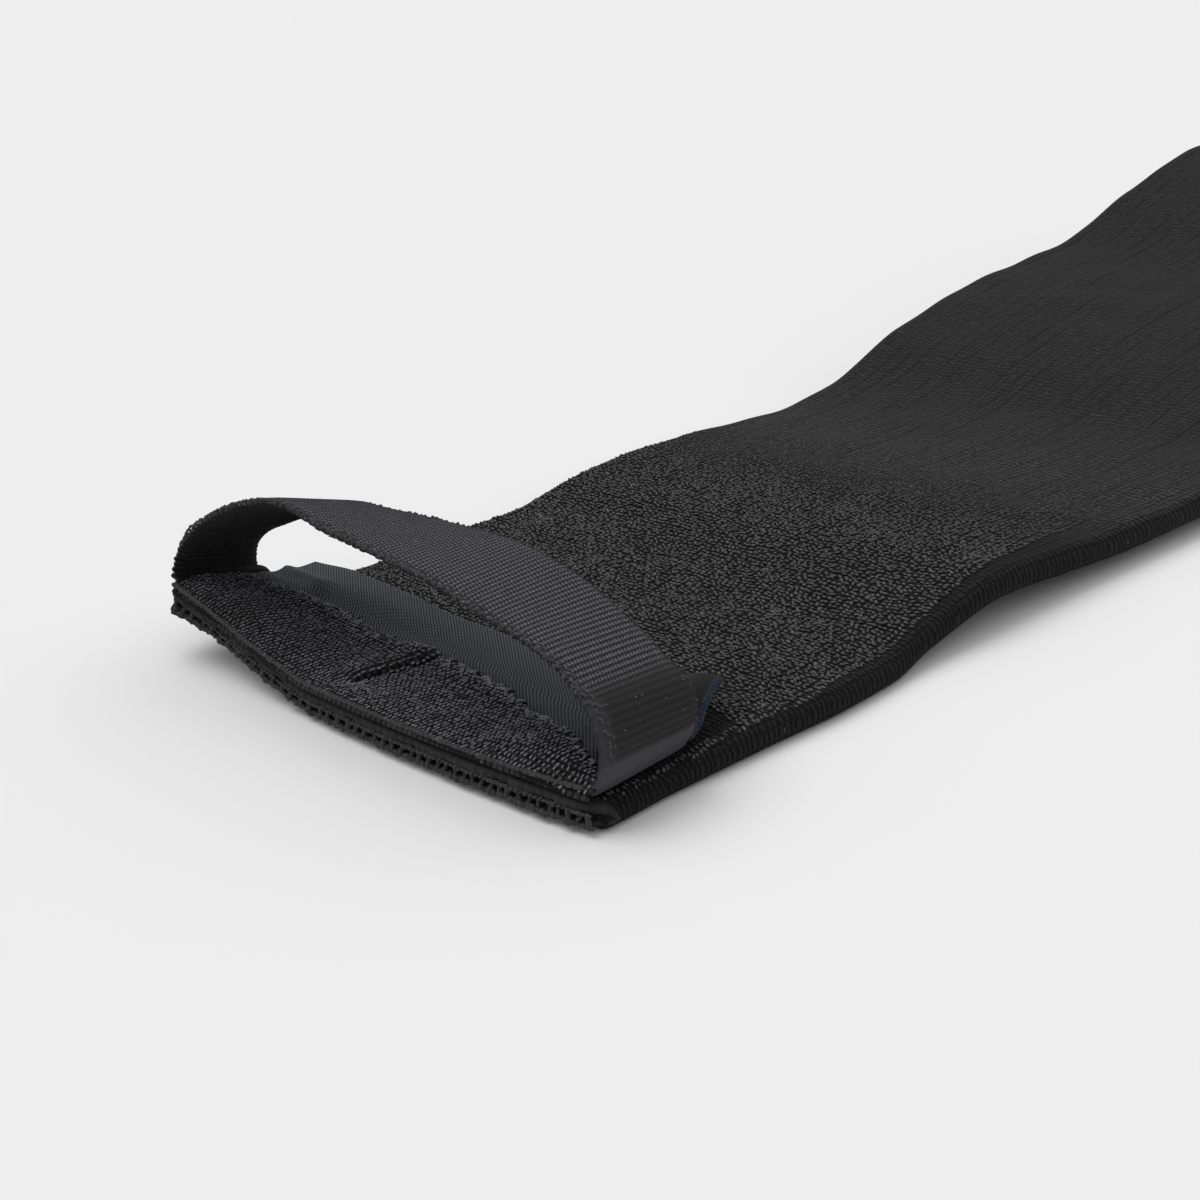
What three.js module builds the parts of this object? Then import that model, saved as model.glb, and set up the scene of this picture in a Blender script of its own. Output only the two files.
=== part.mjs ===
// A wrist wrap lying on a surface: a thick knitted elastic band in loose waves, with a folded
// hem, a sewn-in label and a thumb loop of webbing at one end and a hook tab at the other.
// Millimetres. X runs along the band from the hem to the hook tab, Y across it, Z up.
import * as THREE from 'three';
import { mergeVertices } from 'three/addons/utils/BufferGeometryUtils.js';

// Overall
const wrapLength = 300;
const clearance = 0.3;

// Band
const bandWidth = 76;
const bandThickness = 3.2;
const bandEnd = wrapLength - 28;
const flatFrom = 0.88; // share of bandEnd past which the band lies flat
const waveHeight = 17;

// Hem, where the band is pressed thinner under the seam
const hemWidth = 80;
const hemThickness = 2.7;
const hemLength = 13;
const hemFlare = 12;
const hemBow = 2;
const hemBowPlace = 0.12; // furthest point of the hem's end, as a share of its half width
const hemEndRadius = 0.8;
const pressedLength = hemLength * 1.6;
const cornerLift = 5.6;
const cornerReach = 20;
const cornerStart = 8;

// Upper layer of the hem
const flapThickness = 1.3;
const creasePlace = 3;
const creaseRise = 1.1;
const creaseReach = 14;
const creaseSoftness = 1.2;

// Thumb loop of webbing
const loopWebWidth = 12;
const loopWebThickness = 1.2;
const loopInset = 3;
const loopRise = 19.6;
const loopHalfSpan = 40.9;
const tailLength = 7;
const footRoom = 0.4; // between the loop's feet and the layers beside them
const climbStart = 3; // a layer starts to climb over a tail this far from it
const climbStartHem = 2.4; // the same at the tail's side towards the hem's end
const climbEnd = 0.5;
const climbEndSide = 0.8;

// Label
const labelThickness = 0.9;
const labelReach = 20;
const labelRightRise = 2.4;
const labelLeftRise = 1.3;
const labelSlant = 0.4;
const labelFlare = 2; // past the loop, where the label's ends reach the band's edges
const labelRightShare = 0.14; // of the label's width that its right rise takes
const labelLeftShares = [0.84, 0.95];

// Hook tab
const tabWidth = 50;
const tabThickness = 1.8;
const tabOverlap = 16;
const tabDrop = 12;

// Waves of the band's two edges: place along the band as a share of bandEnd,
// height of the underside as a share of waveHeight.
const waveRows = [
  { along: 0.000, right: 0.00, left: 0.00 },
  { along: 0.155, right: 0.00, left: 0.00 },
  { along: 0.178, right: 0.07, left: 0.00 },
  { along: 0.222, right: 0.18, left: 0.07 },
  { along: 0.262, right: 0.13, left: 0.10 },
  { along: 0.307, right: 0.09, left: 0.06 },
  { along: 0.362, right: 0.09, left: 0.00 },
  { along: 0.395, right: 0.08, left: 0.05 },
  { along: 0.444, right: 0.22, left: 0.30 },
  { along: 0.509, right: 0.38, left: 0.48 },
  { along: 0.578, right: 0.46, left: 0.54 },
  { along: 0.640, right: 0.70, left: 0.80 },
  { along: 0.705, right: 0.92, left: 1.00 },
  { along: 0.780, right: 0.66, left: 0.70 },
  { along: 0.880, right: 0.00, left: 0.00 },
  { along: 1.000, right: 0.00, left: 0.00 },
];

// Reach of the band's two edges from its middle line, as shares of half its width.
const widthRows = [
  { along: 0.000, right: 1.050, left: 1.050 },
  { along: 0.030, right: 1.040, left: 1.015 },
  { along: 0.090, right: 1.040, left: 0.980 },
  { along: 0.118, right: 1.045, left: 0.970 },
  { along: 0.147, right: 1.030, left: 0.985 },
  { along: 0.178, right: 1.000, left: 0.970 },
  { along: 0.206, right: 0.995, left: 0.990 },
  { along: 0.240, right: 0.990, left: 1.005 },
  { along: 0.350, right: 1.000, left: 0.990 },
  { along: 0.400, right: 1.000, left: 1.000 },
  { along: 1.000, right: 1.000, left: 1.000 },
];

// Inner edge of the hem flap and far edge of the label: place across the hem from its
// right end (0) to its left end (1), distance from the hem's end as a share of
// hemLength and of labelReach.
const edgeRows = [
  { across: 0.00, flap: 0.32, label: 1.08 },
  { across: 0.10, flap: 0.52, label: 1.18 },
  { across: 0.24, flap: 0.74, label: 1.12 },
  { across: 0.36, flap: 0.90, label: 1.04 },
  { across: 0.50, flap: 0.97, label: 1.06 },
  { across: 0.64, flap: 0.92, label: 1.03 },
  { across: 0.78, flap: 1.00, label: 1.03 },
  { across: 0.90, flap: 0.93, label: 1.05 },
  { across: 1.00, flap: 0.84, label: 1.02 },
];

// The loop's near and far edges from the left foot over the crown to the right foot:
// sideways place as a share of loopHalfSpan, height as a share of loopRise, and distance
// of the far edge from the near one as a share of loopWebWidth.
const archRows = [
  { nearSide: 0.938, nearHeight: 0.32, farSide: 1.000, farHeight: 0.14, farAlong: 0.93 },
  { nearSide: 0.930, nearHeight: 0.40, farSide: 1.000, farHeight: 0.21, farAlong: 0.93 },
  { nearSide: 0.895, nearHeight: 0.52, farSide: 0.970, farHeight: 0.33, farAlong: 0.93 },
  { nearSide: 0.810, nearHeight: 0.66, farSide: 0.890, farHeight: 0.45, farAlong: 0.94 },
  { nearSide: 0.695, nearHeight: 0.78, farSide: 0.770, farHeight: 0.55, farAlong: 0.95 },
  { nearSide: 0.500, nearHeight: 0.93, farSide: 0.570, farHeight: 0.69, farAlong: 0.97 },
  { nearSide: 0.320, nearHeight: 1.01, farSide: 0.350, farHeight: 0.79, farAlong: 1.00 },
  { nearSide: 0.215, nearHeight: 1.00, farSide: 0.240, farHeight: 0.80, farAlong: 1.00 },
  { nearSide: 0.090, nearHeight: 0.95, farSide: 0.100, farHeight: 0.82, farAlong: 1.00 },
  { nearSide: -0.125, nearHeight: 0.91, farSide: -0.120, farHeight: 0.84, farAlong: 1.00 },
  { nearSide: -0.390, nearHeight: 0.85, farSide: -0.370, farHeight: 0.84, farAlong: 1.00 },
  { nearSide: -0.605, nearHeight: 0.76, farSide: -0.590, farHeight: 0.75, farAlong: 1.00 },
  { nearSide: -0.810, nearHeight: 0.66, farSide: -0.770, farHeight: 0.59, farAlong: 1.00 },
  { nearSide: -0.915, nearHeight: 0.54, farSide: -0.870, farHeight: 0.47, farAlong: 1.00 },
  { nearSide: -0.975, nearHeight: 0.45, farSide: -0.945, farHeight: 0.38, farAlong: 1.00 },
  { nearSide: -1.000, nearHeight: 0.33, farSide: -0.960, farHeight: 0.27, farAlong: 1.00 },
  { nearSide: -0.995, nearHeight: 0.24, farSide: -0.950, farHeight: 0.19, farAlong: 1.00 },
  { nearSide: -0.980, nearHeight: 0.15, farSide: -0.935, farHeight: 0.12, farAlong: 1.00 },
];

// Where the loop's two edges meet the band, as shares of loopHalfSpan.
const feet = {
  near: { left: 0.940, right: -0.955 },
  far: { left: 0.985, right: -0.925 },
};

// Value of one column of a table, smooth and without overshoot between its rows.
function readRows(rows, place, column, at) {
  const last = rows.length - 1;
  if (at <= rows[0][place]) return rows[0][column];
  if (at >= rows[last][place]) return rows[last][column];
  let i = 0;
  while (at > rows[i + 1][place]) i += 1;
  const slope = (k) => (rows[k + 1][column] - rows[k][column]) / (rows[k + 1][place] - rows[k][place]);
  const tangent = (k) => {
    if (k === 0 || k === last) return 0;
    const before = slope(k - 1);
    const after = slope(k);
    return before * after <= 0 ? 0 : (2 * before * after) / (before + after);
  };
  const span = rows[i + 1][place] - rows[i][place];
  const t = (at - rows[i][place]) / span;
  const startWeight = (1 + 2 * t) * (1 - t) ** 2;
  const endWeight = t ** 2 * (3 - 2 * t);
  return startWeight * rows[i][column] + endWeight * rows[i + 1][column]
    + span * t * (1 - t) * ((1 - t) * tangent(i) - t * tangent(i + 1));
}

const { lerp, smoothstep } = THREE.MathUtils;

// Reach of one of the band's edges from its middle line, at a distance along it.
function edgeReach(along, leftSide) {
  const share = readRows(widthRows, 'along', leftSide ? 'left' : 'right', along / bandEnd);
  return lerp(hemWidth / 2, share * bandWidth / 2, smoothstep(along, hemFlare / 4, hemFlare));
}

// Height of the band's underside: the waves, and the hem's left corner curling up.
function underside(along, side) {
  const across = THREE.MathUtils.clamp(side / bandWidth + 0.5, 0, 1);
  const right = readRows(waveRows, 'along', 'right', along / bandEnd);
  const left = readRows(waveRows, 'along', 'left', along / bandEnd);
  const wave = lerp(right, left, across) * waveHeight;
  const fade = 1 - smoothstep(along, 0, cornerReach);
  const spread = Math.max(0, (side - cornerStart) / (hemWidth / 2 - cornerStart));
  return wave + cornerLift * fade * spread ** 1.2;
}

function bandTop(along, side) {
  const pressed = 1 - smoothstep(along, hemLength, pressedLength);
  return underside(along, side) + lerp(bandThickness, hemThickness, pressed);
}

// How far the hem's end stands back from its furthest point, which is at the origin end.
function hemEnd(side) {
  return hemBow * Math.min(1, (side / (hemWidth / 2) + hemBowPlace) ** 2);
}

// Share of full thickness near an edge whose section is a half round.
function roundedEdge(distance, radius) {
  const inside = THREE.MathUtils.clamp(distance / radius, 0, 1);
  return Math.sqrt(1 - (1 - inside) ** 2);
}

function evenStations(count) {
  return Array.from({ length: count + 1 }, (_, i) => i / count);
}

// Even stations with extra ones close to both ends, so that the edges come out round.
function edgedStations(count, edge) {
  const inner = evenStations(count).map((t) => lerp(edge, 1 - edge, t));
  return [edge * 0.06, edge * 0.38, ...inner, 1 - edge * 0.38, 1 - edge * 0.06];
}

// A closed sheet between an upper and a lower surface over a grid of stations.
function sheetGeometry(lengthwise, crosswise, surfaces) {
  const columns = crosswise.length;
  const rows = lengthwise.length;
  const upper = [];
  const lower = [];
  for (const u of lengthwise) {
    for (const v of crosswise) {
      const [top, bottom] = surfaces(u, v);
      upper.push(top.x, top.y, top.z);
      lower.push(bottom.x, bottom.y, bottom.z);
    }
  }
  const under = rows * columns;
  const index = [];
  const quad = (a, b, c, d) => index.push(a, b, c, a, c, d);
  for (let i = 0; i + 1 < rows; i += 1) {
    for (let j = 0; j + 1 < columns; j += 1) {
      const a = i * columns + j;
      quad(a, a + 1, a + columns + 1, a + columns);
      quad(under + a, under + a + columns, under + a + columns + 1, under + a + 1);
    }
  }
  const wall = (a, b) => quad(b, a, under + a, under + b);
  for (let j = 0; j + 1 < columns; j += 1) {
    wall(j, j + 1);
    wall((rows - 1) * columns + j + 1, (rows - 1) * columns + j);
  }
  for (let i = 0; i + 1 < rows; i += 1) {
    wall((i + 1) * columns, i * columns);
    wall(i * columns + columns - 1, (i + 1) * columns + columns - 1);
  }
  const geometry = new THREE.BufferGeometry();
  geometry.setAttribute('position', new THREE.Float32BufferAttribute([...upper, ...lower], 3));
  geometry.setIndex(index);
  return mergeVertices(geometry, 1e-5);
}

// Top and bottom points of a sheet that is thinner by a share towards its edges.
function sheetPoints(along, side, bottom, thickness, share) {
  const middle = bottom + thickness / 2;
  const half = thickness / 2 * share;
  return [
    new THREE.Vector3(along - wrapLength / 2, side, middle + half),
    new THREE.Vector3(along - wrapLength / 2, side, middle - half),
  ];
}

function bandStations() {
  const hemPart = evenStations(9).map((t) => t * hemLength * 2);
  const wavePart = evenStations(40).slice(1).map((t) => lerp(hemLength * 2, bandEnd * flatFrom, t));
  const flatPart = evenStations(3).slice(1).map((t) => lerp(bandEnd * flatFrom, bandEnd, t));
  const places = [...hemPart, ...wavePart, ...flatPart].map((place) => place / bandEnd);
  const start = hemEndRadius / bandEnd;
  const end = bandThickness / 2 / bandEnd;
  return [start * 0.06, start * 0.4, start, ...places.slice(1, -1),
    1 - end, 1 - end * 0.4, 1 - end * 0.06];
}

function bandGeometry() {
  const radius = bandThickness / 2;
  const crosswise = edgedStations(17, radius / bandWidth);
  return sheetGeometry(bandStations(), crosswise, (u, v) => {
    const along = lerp(hemEnd((0.5 - v) * hemWidth), bandEnd, u);
    const left = edgeReach(along, true);
    const right = edgeReach(along, false);
    const side = lerp(left, -right, v);
    const toStart = u * bandEnd / hemEndRadius;
    const toEnd = (1 - u) * bandEnd / radius;
    const toSide = Math.min(v, 1 - v) * (left + right) / radius;
    const bottom = underside(along, side);
    const thickness = bandTop(along, side) - bottom;
    const share = roundedEdge(Math.min(toStart, toEnd), 1) * roundedEdge(toSide, 1);
    return sheetPoints(along, side, bottom, thickness, share);
  });
}

// Where the flap and the label stop beside the loop's foot.
function footSide(leftSide) {
  const share = leftSide ? feet.near.left : feet.far.right;
  const inward = loopWebThickness / 2 + clearance + footRoom;
  return share * loopHalfSpan + (leftSide ? -inward : inward);
}

// Where the loop's tails lie under the flap and the label, from 0 beside them to 1 on them.
function overTail(along, side) {
  const tailEnd = Math.abs(footSide(side > 0)) - tailLength;
  const farSide = loopInset + loopWebWidth;
  const sideways = smoothstep(Math.abs(side), tailEnd - climbStart, tailEnd - climbEndSide);
  const inward = smoothstep(along, loopInset - climbStartHem, loopInset - climbEnd);
  const outward = 1 - smoothstep(along, farSide + climbEnd, farSide + climbStart);
  return sideways * inward * outward;
}

// Underside of a layer that lies on the band and over the loop's tails.
function layerBottom(along, side) {
  return bandTop(along, side) + clearance + overTail(along, side) * (loopWebThickness + clearance);
}

function flapEdge(across) {
  return readRows(edgeRows, 'across', 'flap', across) * hemLength;
}

// The flap's fold: it stands up on the left of the crease and sinks again over creaseReach.
function creaseLift(side) {
  const away = side - creasePlace;
  const rise = smoothstep(away, -creaseSoftness, creaseSoftness);
  return creaseRise * rise * Math.exp(-Math.max(0, away) / creaseReach);
}

function flapGeometry() {
  const radius = flapThickness / 2;
  const width = footSide(true) - footSide(false);
  const crosswise = edgedStations(32, radius / width);
  const lengthwise = edgedStations(6, 0.1);
  return sheetGeometry(lengthwise, crosswise, (u, v) => {
    const across = 1 - v;
    const side = lerp(footSide(false), footSide(true), across);
    const start = hemEnd(side);
    const end = flapEdge(across);
    const along = lerp(start, end, u);
    const toEnd = Math.min(u, 1 - u) * (end - start);
    const toSide = Math.min(v, 1 - v) * width;
    const share = roundedEdge(toEnd, radius) * roundedEdge(toSide, radius);
    const lift = creaseLift(side) * smoothstep(along, hemBow, hemLength);
    return sheetPoints(along, side, layerBottom(along, side) + lift, flapThickness, share);
  });
}

// The label's ends reach the band's edges past the loop and stop at its feet beside it.
function labelSide(leftSide, along) {
  const farSide = loopInset + loopWebWidth;
  const pastLoop = smoothstep(along, farSide + clearance, farSide + labelFlare);
  const edge = edgeReach(along, leftSide) * (leftSide ? 1 : -1);
  const slant = leftSide ? 0 : labelSlant * Math.max(0, along - farSide);
  return lerp(footSide(leftSide), edge + slant, pastLoop);
}

function labelGeometry() {
  const radius = labelThickness / 2;
  const crosswise = edgedStations(30, radius / bandWidth);
  const lengthwise = edgedStations(7, 0.05);
  return sheetGeometry(lengthwise, crosswise, (u, v) => {
    const across = 1 - v;
    const start = flapEdge(across) + clearance;
    const end = readRows(edgeRows, 'across', 'label', across) * labelReach;
    const along = lerp(start, end, u);
    const side = lerp(labelSide(false, along), labelSide(true, along), across);
    const toEnd = Math.min(u, 1 - u) * (end - start);
    const toSide = Math.min(v, 1 - v) * bandWidth;
    const share = roundedEdge(toEnd, radius) * roundedEdge(toSide, radius);
    const rightRise = labelRightRise * (1 - smoothstep(across, 0, labelRightShare));
    const leftRise = labelLeftRise * smoothstep(across, ...labelLeftShares);
    const farShare = smoothstep(along, loopInset + loopWebWidth, end);
    const bottom = layerBottom(along, side) + (rightRise + leftRise) * farShare;
    return sheetPoints(along, side, bottom, labelThickness, share);
  });
}

// Height of the webbing's middle where it lies on the band.
function tailHeight(along, side) {
  return bandTop(along, side) + clearance + loopWebThickness / 2;
}

// Middle line of one edge of the webbing, from tail to tail.
function loopEdge(edge, width) {
  const tail = (side, back) => {
    const inner = side - Math.sign(side) * back;
    const along = loopInset + width;
    return new THREE.Vector3(along, inner, tailHeight(along, inner));
  };
  const leftFoot = feet[edge].left * loopHalfSpan;
  const rightFoot = feet[edge].right * loopHalfSpan;
  const bend = loopWebThickness;
  const bendUp = (side) => {
    const point = tail(side, 0);
    point.z += bend;
    return point;
  };
  const arch = archRows.map((row) => new THREE.Vector3(
    loopInset + width * row.farAlong,
    row[`${edge}Side`] * loopHalfSpan,
    hemThickness + clearance + row[`${edge}Height`] * loopRise,
  ));
  const points = [
    tail(leftFoot, tailLength), tail(leftFoot, tailLength / 2), tail(leftFoot, bend),
    bendUp(leftFoot), ...arch, bendUp(rightFoot),
    tail(rightFoot, bend), tail(rightFoot, tailLength / 2), tail(rightFoot, tailLength),
  ];
  return new THREE.CatmullRomCurve3(points, false, 'centripetal');
}

function loopGeometry() {
  const nearEdge = loopEdge('near', 0);
  const farEdge = loopEdge('far', loopWebWidth);
  const lengthwise = evenStations(88);
  const crosswise = [0, 0.04, 0.35, 0.65, 0.96, 1];
  const across = new THREE.Vector3();
  return sheetGeometry(lengthwise, crosswise, (u, v) => {
    const near = nearEdge.getPoint(u);
    const far = farEdge.getPoint(u);
    const middle = near.clone().lerp(far, v);
    middle.z = Math.max(middle.z, tailHeight(middle.x, middle.y));
    const tangent = nearEdge.getTangent(u).lerp(farEdge.getTangent(u), v).normalize();
    across.subVectors(far, near).normalize();
    const outward = new THREE.Vector3().crossVectors(across, tangent).normalize();
    const share = v === 0 || v === 1 ? 0.6 : 1;
    const half = outward.multiplyScalar(loopWebThickness / 2 * share);
    middle.x -= wrapLength / 2;
    return [middle.clone().add(half), middle.clone().sub(half)];
  });
}

function tabGeometry() {
  const radius = tabThickness / 2;
  const start = bandEnd - tabOverlap;
  const length = wrapLength - start;
  const crosswise = edgedStations(6, radius / tabWidth);
  const lengthwise = edgedStations(18, radius / length);
  return sheetGeometry(lengthwise, crosswise, (u, v) => {
    const along = start + u * length;
    const side = (0.5 - v) * tabWidth;
    const onBand = bandTop(bandEnd, 0) + clearance;
    const drop = smoothstep(along, bandEnd + clearance, bandEnd + clearance + tabDrop);
    const toEnd = Math.min(u, 1 - u) * length;
    const toSide = Math.min(v, 1 - v) * tabWidth;
    const share = roundedEdge(toEnd, radius) * roundedEdge(toSide, radius);
    return sheetPoints(along, side, lerp(onBand, 0, drop), tabThickness, share);
  });
}

function fabric(color, roughness) {
  return new THREE.MeshStandardMaterial({ color, roughness, metalness: 0 });
}

const pieces = [
  ['wrap_band', bandGeometry, fabric(0x2b2b2a, 0.95)],
  ['hem_flap', flapGeometry, fabric(0x262726, 0.95)],
  ['label', labelGeometry, fabric(0x33363b, 0.7)],
  ['thumb_loop', loopGeometry, fabric(0x3a3a3d, 0.85)],
  ['hook_tab', tabGeometry, fabric(0x1f1f20, 0.9)],
];

const wristWrap = new THREE.Group();
for (const [name, makeGeometry, material] of pieces) {
  const mesh = new THREE.Mesh(makeGeometry(), material);
  mesh.name = name;
  wristWrap.add(mesh);
}

export default wristWrap;
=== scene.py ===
import math

import bpy
import numpy as np
from mathutils import Matrix, Vector


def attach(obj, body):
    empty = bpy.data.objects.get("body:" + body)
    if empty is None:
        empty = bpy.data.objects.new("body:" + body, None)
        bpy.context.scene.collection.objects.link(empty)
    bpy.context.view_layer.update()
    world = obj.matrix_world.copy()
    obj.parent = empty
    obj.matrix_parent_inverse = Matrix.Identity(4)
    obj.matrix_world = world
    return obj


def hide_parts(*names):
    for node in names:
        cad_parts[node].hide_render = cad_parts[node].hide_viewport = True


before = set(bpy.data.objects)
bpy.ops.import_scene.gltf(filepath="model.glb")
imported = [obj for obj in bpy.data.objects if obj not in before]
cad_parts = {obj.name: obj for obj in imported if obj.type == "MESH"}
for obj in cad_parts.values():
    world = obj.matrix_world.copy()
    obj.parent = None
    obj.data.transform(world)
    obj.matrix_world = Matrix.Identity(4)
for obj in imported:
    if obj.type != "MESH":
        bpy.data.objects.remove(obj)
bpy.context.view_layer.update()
print("frame loaded:", sorted(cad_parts))

mm = 0.001  # sizes below are in millimetres, meshes are in metres
wrapLength = 300.0
gap = 0.3  # between pieces that lie on each other
fullTurn = 2 * math.pi

# Camera, floor and light

photoCamera = {
    "lens": 68.99,
    "sensor": 36.0,
    "turn": -36.24,  # degrees round the object
    "rise": 20.7225,  # degrees above the floor
    "roll": -7.9426,
    "target": (-109.774, 7.945, 0.0),
    "distance": 269.732,
    "clip": (0.01, 50),  # metres
}


def addObject(name, data):
    obj = bpy.data.objects.new(name, data)
    bpy.context.scene.collection.objects.link(obj)
    return obj


def placeCamera(c):
    turn, rise, roll = (math.radians(c[k]) for k in ("turn", "rise", "roll"))
    level = math.cos(rise)
    back = Vector((math.sin(turn) * level, -math.cos(turn) * level, math.sin(rise)))
    right = (-back).cross(Vector((0, 0, 1))).normalized()
    up = right.cross(-back)
    rolledRight = right * math.cos(roll) + up * math.sin(roll)
    rolledUp = up * math.cos(roll) - right * math.sin(roll)
    data = bpy.data.cameras.new("photoCamera")
    data.lens = c["lens"]
    data.sensor_fit = "HORIZONTAL"
    data.sensor_width = c["sensor"]
    data.clip_start, data.clip_end = c["clip"]
    camera = addObject("photoCamera", data)
    spot = (Vector(c["target"]) + back * c["distance"]) * mm
    turned = Matrix((rolledRight, rolledUp, back)).transposed().to_4x4()
    camera.matrix_world = Matrix.Translation(spot) @ turned
    bpy.context.scene.camera = camera


placeCamera(photoCamera)

studio = {
    "floorTone": (0.80, 0.80, 0.80),
    "floorSize": 6.0,  # metres
    "skyStrength": 0.60,
    # strength, degrees of softness, degrees of tilt
    "keyLight": (1.36, 55, (22, -5, -150)),
    "fillLight": (0.35, 70, (48, 10, 20)),
}


def makeStudio(s):
    world = bpy.data.worlds.new("studioSky")
    bpy.context.scene.world = world
    world.use_nodes = True
    sky = world.node_tree.nodes["Background"]
    sky.inputs["Color"].default_value = (1, 1, 1, 1)
    sky.inputs["Strength"].default_value = s["skyStrength"]
    for name in ("keyLight", "fillLight"):
        strength, softness, tilt = s[name]
        data = bpy.data.lights.new(name, "SUN")
        data.energy, data.angle = strength, math.radians(softness)
        addObject(name, data).rotation_euler = [math.radians(t) for t in tilt]
    half = s["floorSize"] / 2
    corners = [(-half, -half, 0), (half, -half, 0), (half, half, 0), (-half, half, 0)]
    mesh = bpy.data.meshes.new("studioFloor")
    mesh.from_pydata(corners, [], [(0, 1, 2, 3)])
    paint = bpy.data.materials.new("paleFloor")
    paint.use_nodes = True
    shader = paint.node_tree.nodes["Principled BSDF"]
    shader.inputs["Base Color"].default_value = (*s["floorTone"], 1)
    shader.inputs["Roughness"].default_value = 1.0
    shader.inputs["Specular IOR Level"].default_value = 0.0
    mesh.materials.append(paint)
    addObject("studioFloor", mesh)
    bpy.context.scene.view_settings.view_transform = "Standard"


makeStudio(studio)
print("camera, floor and light placed")

# Shape of the wrap, the same rules as the solids


def smooth(value, low, high):
    t = np.clip((np.asarray(value, float) - low) / (high - low), 0, 1)
    return t * t * (3 - 2 * t)


def mix(a, b, t):
    return a + (b - a) * t


# a smooth curve through a table's values that never passes them
def readRows(places, values, at):
    places, values = np.asarray(places, float), np.asarray(values, float)
    at = np.clip(np.asarray(at, float), places[0], places[-1])
    slopes = np.diff(values) / np.diff(places)
    tangents = np.zeros(len(places))
    before, after = slopes[:-1], slopes[1:]
    same = before * after > 0
    tangents[1:-1][same] = 2 * before[same] * after[same] / (before[same] + after[same])
    i = np.clip(np.searchsorted(places, at, side="right") - 1, 0, len(places) - 2)
    span = places[i + 1] - places[i]
    t = (at - places[i]) / span
    return ((1 + 2 * t) * (1 - t) ** 2 * values[i] + t ** 2 * (3 - 2 * t) * values[i + 1]
            + span * t * (1 - t) * ((1 - t) * tangents[i] - t * tangents[i + 1]))


band = {
    "width": 76.0,
    "thickness": 3.2,
    "end": 272.0,
    "waveHeight": 17.0,
    "hemWidth": 80.0,
    "hemThickness": 2.7,
    "hemLength": 13.0,
    "hemFade": 1.6,  # times the hem's length, where the band has its full thickness
    "hemFlare": 12.0,
    "hemBow": 2.0,
    "hemBowPlace": 0.12,
    "hemEndRadius": 0.8,
    "hemSetback": 0.6,
    "cornerLift": 5.6,
    "cornerReach": 20.0,
    "cornerStart": 8.0,
    "cornerCurve": 1.2,
    "waveAlong": [0, .155, .178, .222, .262, .307, .362, .395, .444, .509, .578, .64, .705, .78,
                  .88, 1],
    "waveRight": [0, 0, .07, .18, .13, .09, .09, .08, .22, .38, .46, .70, .92, .66, 0, 0],
    "waveLeft": [0, 0, 0, .07, .10, .06, 0, .05, .30, .48, .54, .80, 1, .70, 0, 0],
    "edgeAlong": [0, .03, .09, .118, .147, .178, .206, .24, .35, .4, 1],
    "edgeRight": [1.05, 1.04, 1.04, 1.045, 1.03, 1, .995, .99, 1, 1, 1],
    "edgeLeft": [1.05, 1.015, .98, .97, .985, .97, .99, 1.005, .99, 1, 1],
    "unevenness": 0.16,  # of the knit's surface
}


def edgeReach(along, leftSide):
    edge = band["edgeLeft" if leftSide else "edgeRight"]
    share = readRows(band["edgeAlong"], edge, along / band["end"])
    flare = smooth(along, band["hemFlare"] / 4, band["hemFlare"])
    return mix(band["hemWidth"] / 2, share * band["width"] / 2, flare)


def reachOn(along, side):
    return np.where(side > 0, edgeReach(along, True), edgeReach(along, False))


def underside(along, side):
    across = np.clip(side / band["width"] + 0.5, 0, 1)
    right, left = (readRows(band["waveAlong"], band[k], along / band["end"])
                   for k in ("waveRight", "waveLeft"))
    fade = 1 - smooth(along, 0, band["cornerReach"])
    start = band["cornerStart"]
    spread = np.maximum(0, (side - start) / (band["hemWidth"] / 2 - start))
    corner = band["cornerLift"] * fade * spread ** band["cornerCurve"]
    return mix(right, left, across) * band["waveHeight"] + corner


def bandTop(along, side):
    pressed = 1 - smooth(along, band["hemLength"], band["hemLength"] * band["hemFade"])
    return underside(along, side) + mix(band["thickness"], band["hemThickness"], pressed)


def hemEnd(side):
    place = side / (band["hemWidth"] / 2) + band["hemBowPlace"]
    return band["hemBow"] * np.minimum(1, place ** 2)


def roundedEdge(distance, radius):
    inside = np.clip(distance / radius, 0, 1)
    return np.sqrt(1 - (1 - inside) ** 2)


# places close to 0, for a half round edge
def edgeSteps(length, steps=6, firstTurn=0.12):
    return length * (1 - np.cos(np.linspace(firstTurn, math.pi / 2, steps)))


# places from 0 to 1, close together at both ends
def roundStations(count, edge, steps=6):
    first = edgeSteps(edge, steps)
    return np.concatenate([first, np.linspace(edge, 1 - edge, count)[1:-1], 1 - first[::-1]])


# how far a place from 0 to 1 is from the nearer end, in millimetres
def inwards(place, length):
    return np.minimum(place, 1 - place) * length


# soft unevenness from -1 to 1
def ripple(along, side, seed, wave):
    rng = np.random.default_rng(seed)
    total = np.zeros(np.broadcast(along, side).shape)
    for _ in range(7):
        angle = rng.uniform(0, math.pi)
        length = wave * rng.uniform(0.6, 1.7)
        run = (along * math.cos(angle) + side * math.sin(angle)) * fullTurn / length
        total += np.sin(run + rng.uniform(0, 6.28))
    return total / 4


def stack(along, side, height):
    return np.stack(np.broadcast_arrays(along - wrapLength / 2, side, height), -1)


def unit(way):
    return way / (np.linalg.norm(way, axis=-1)[..., None] + 1e-12)


# Meshes


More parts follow.
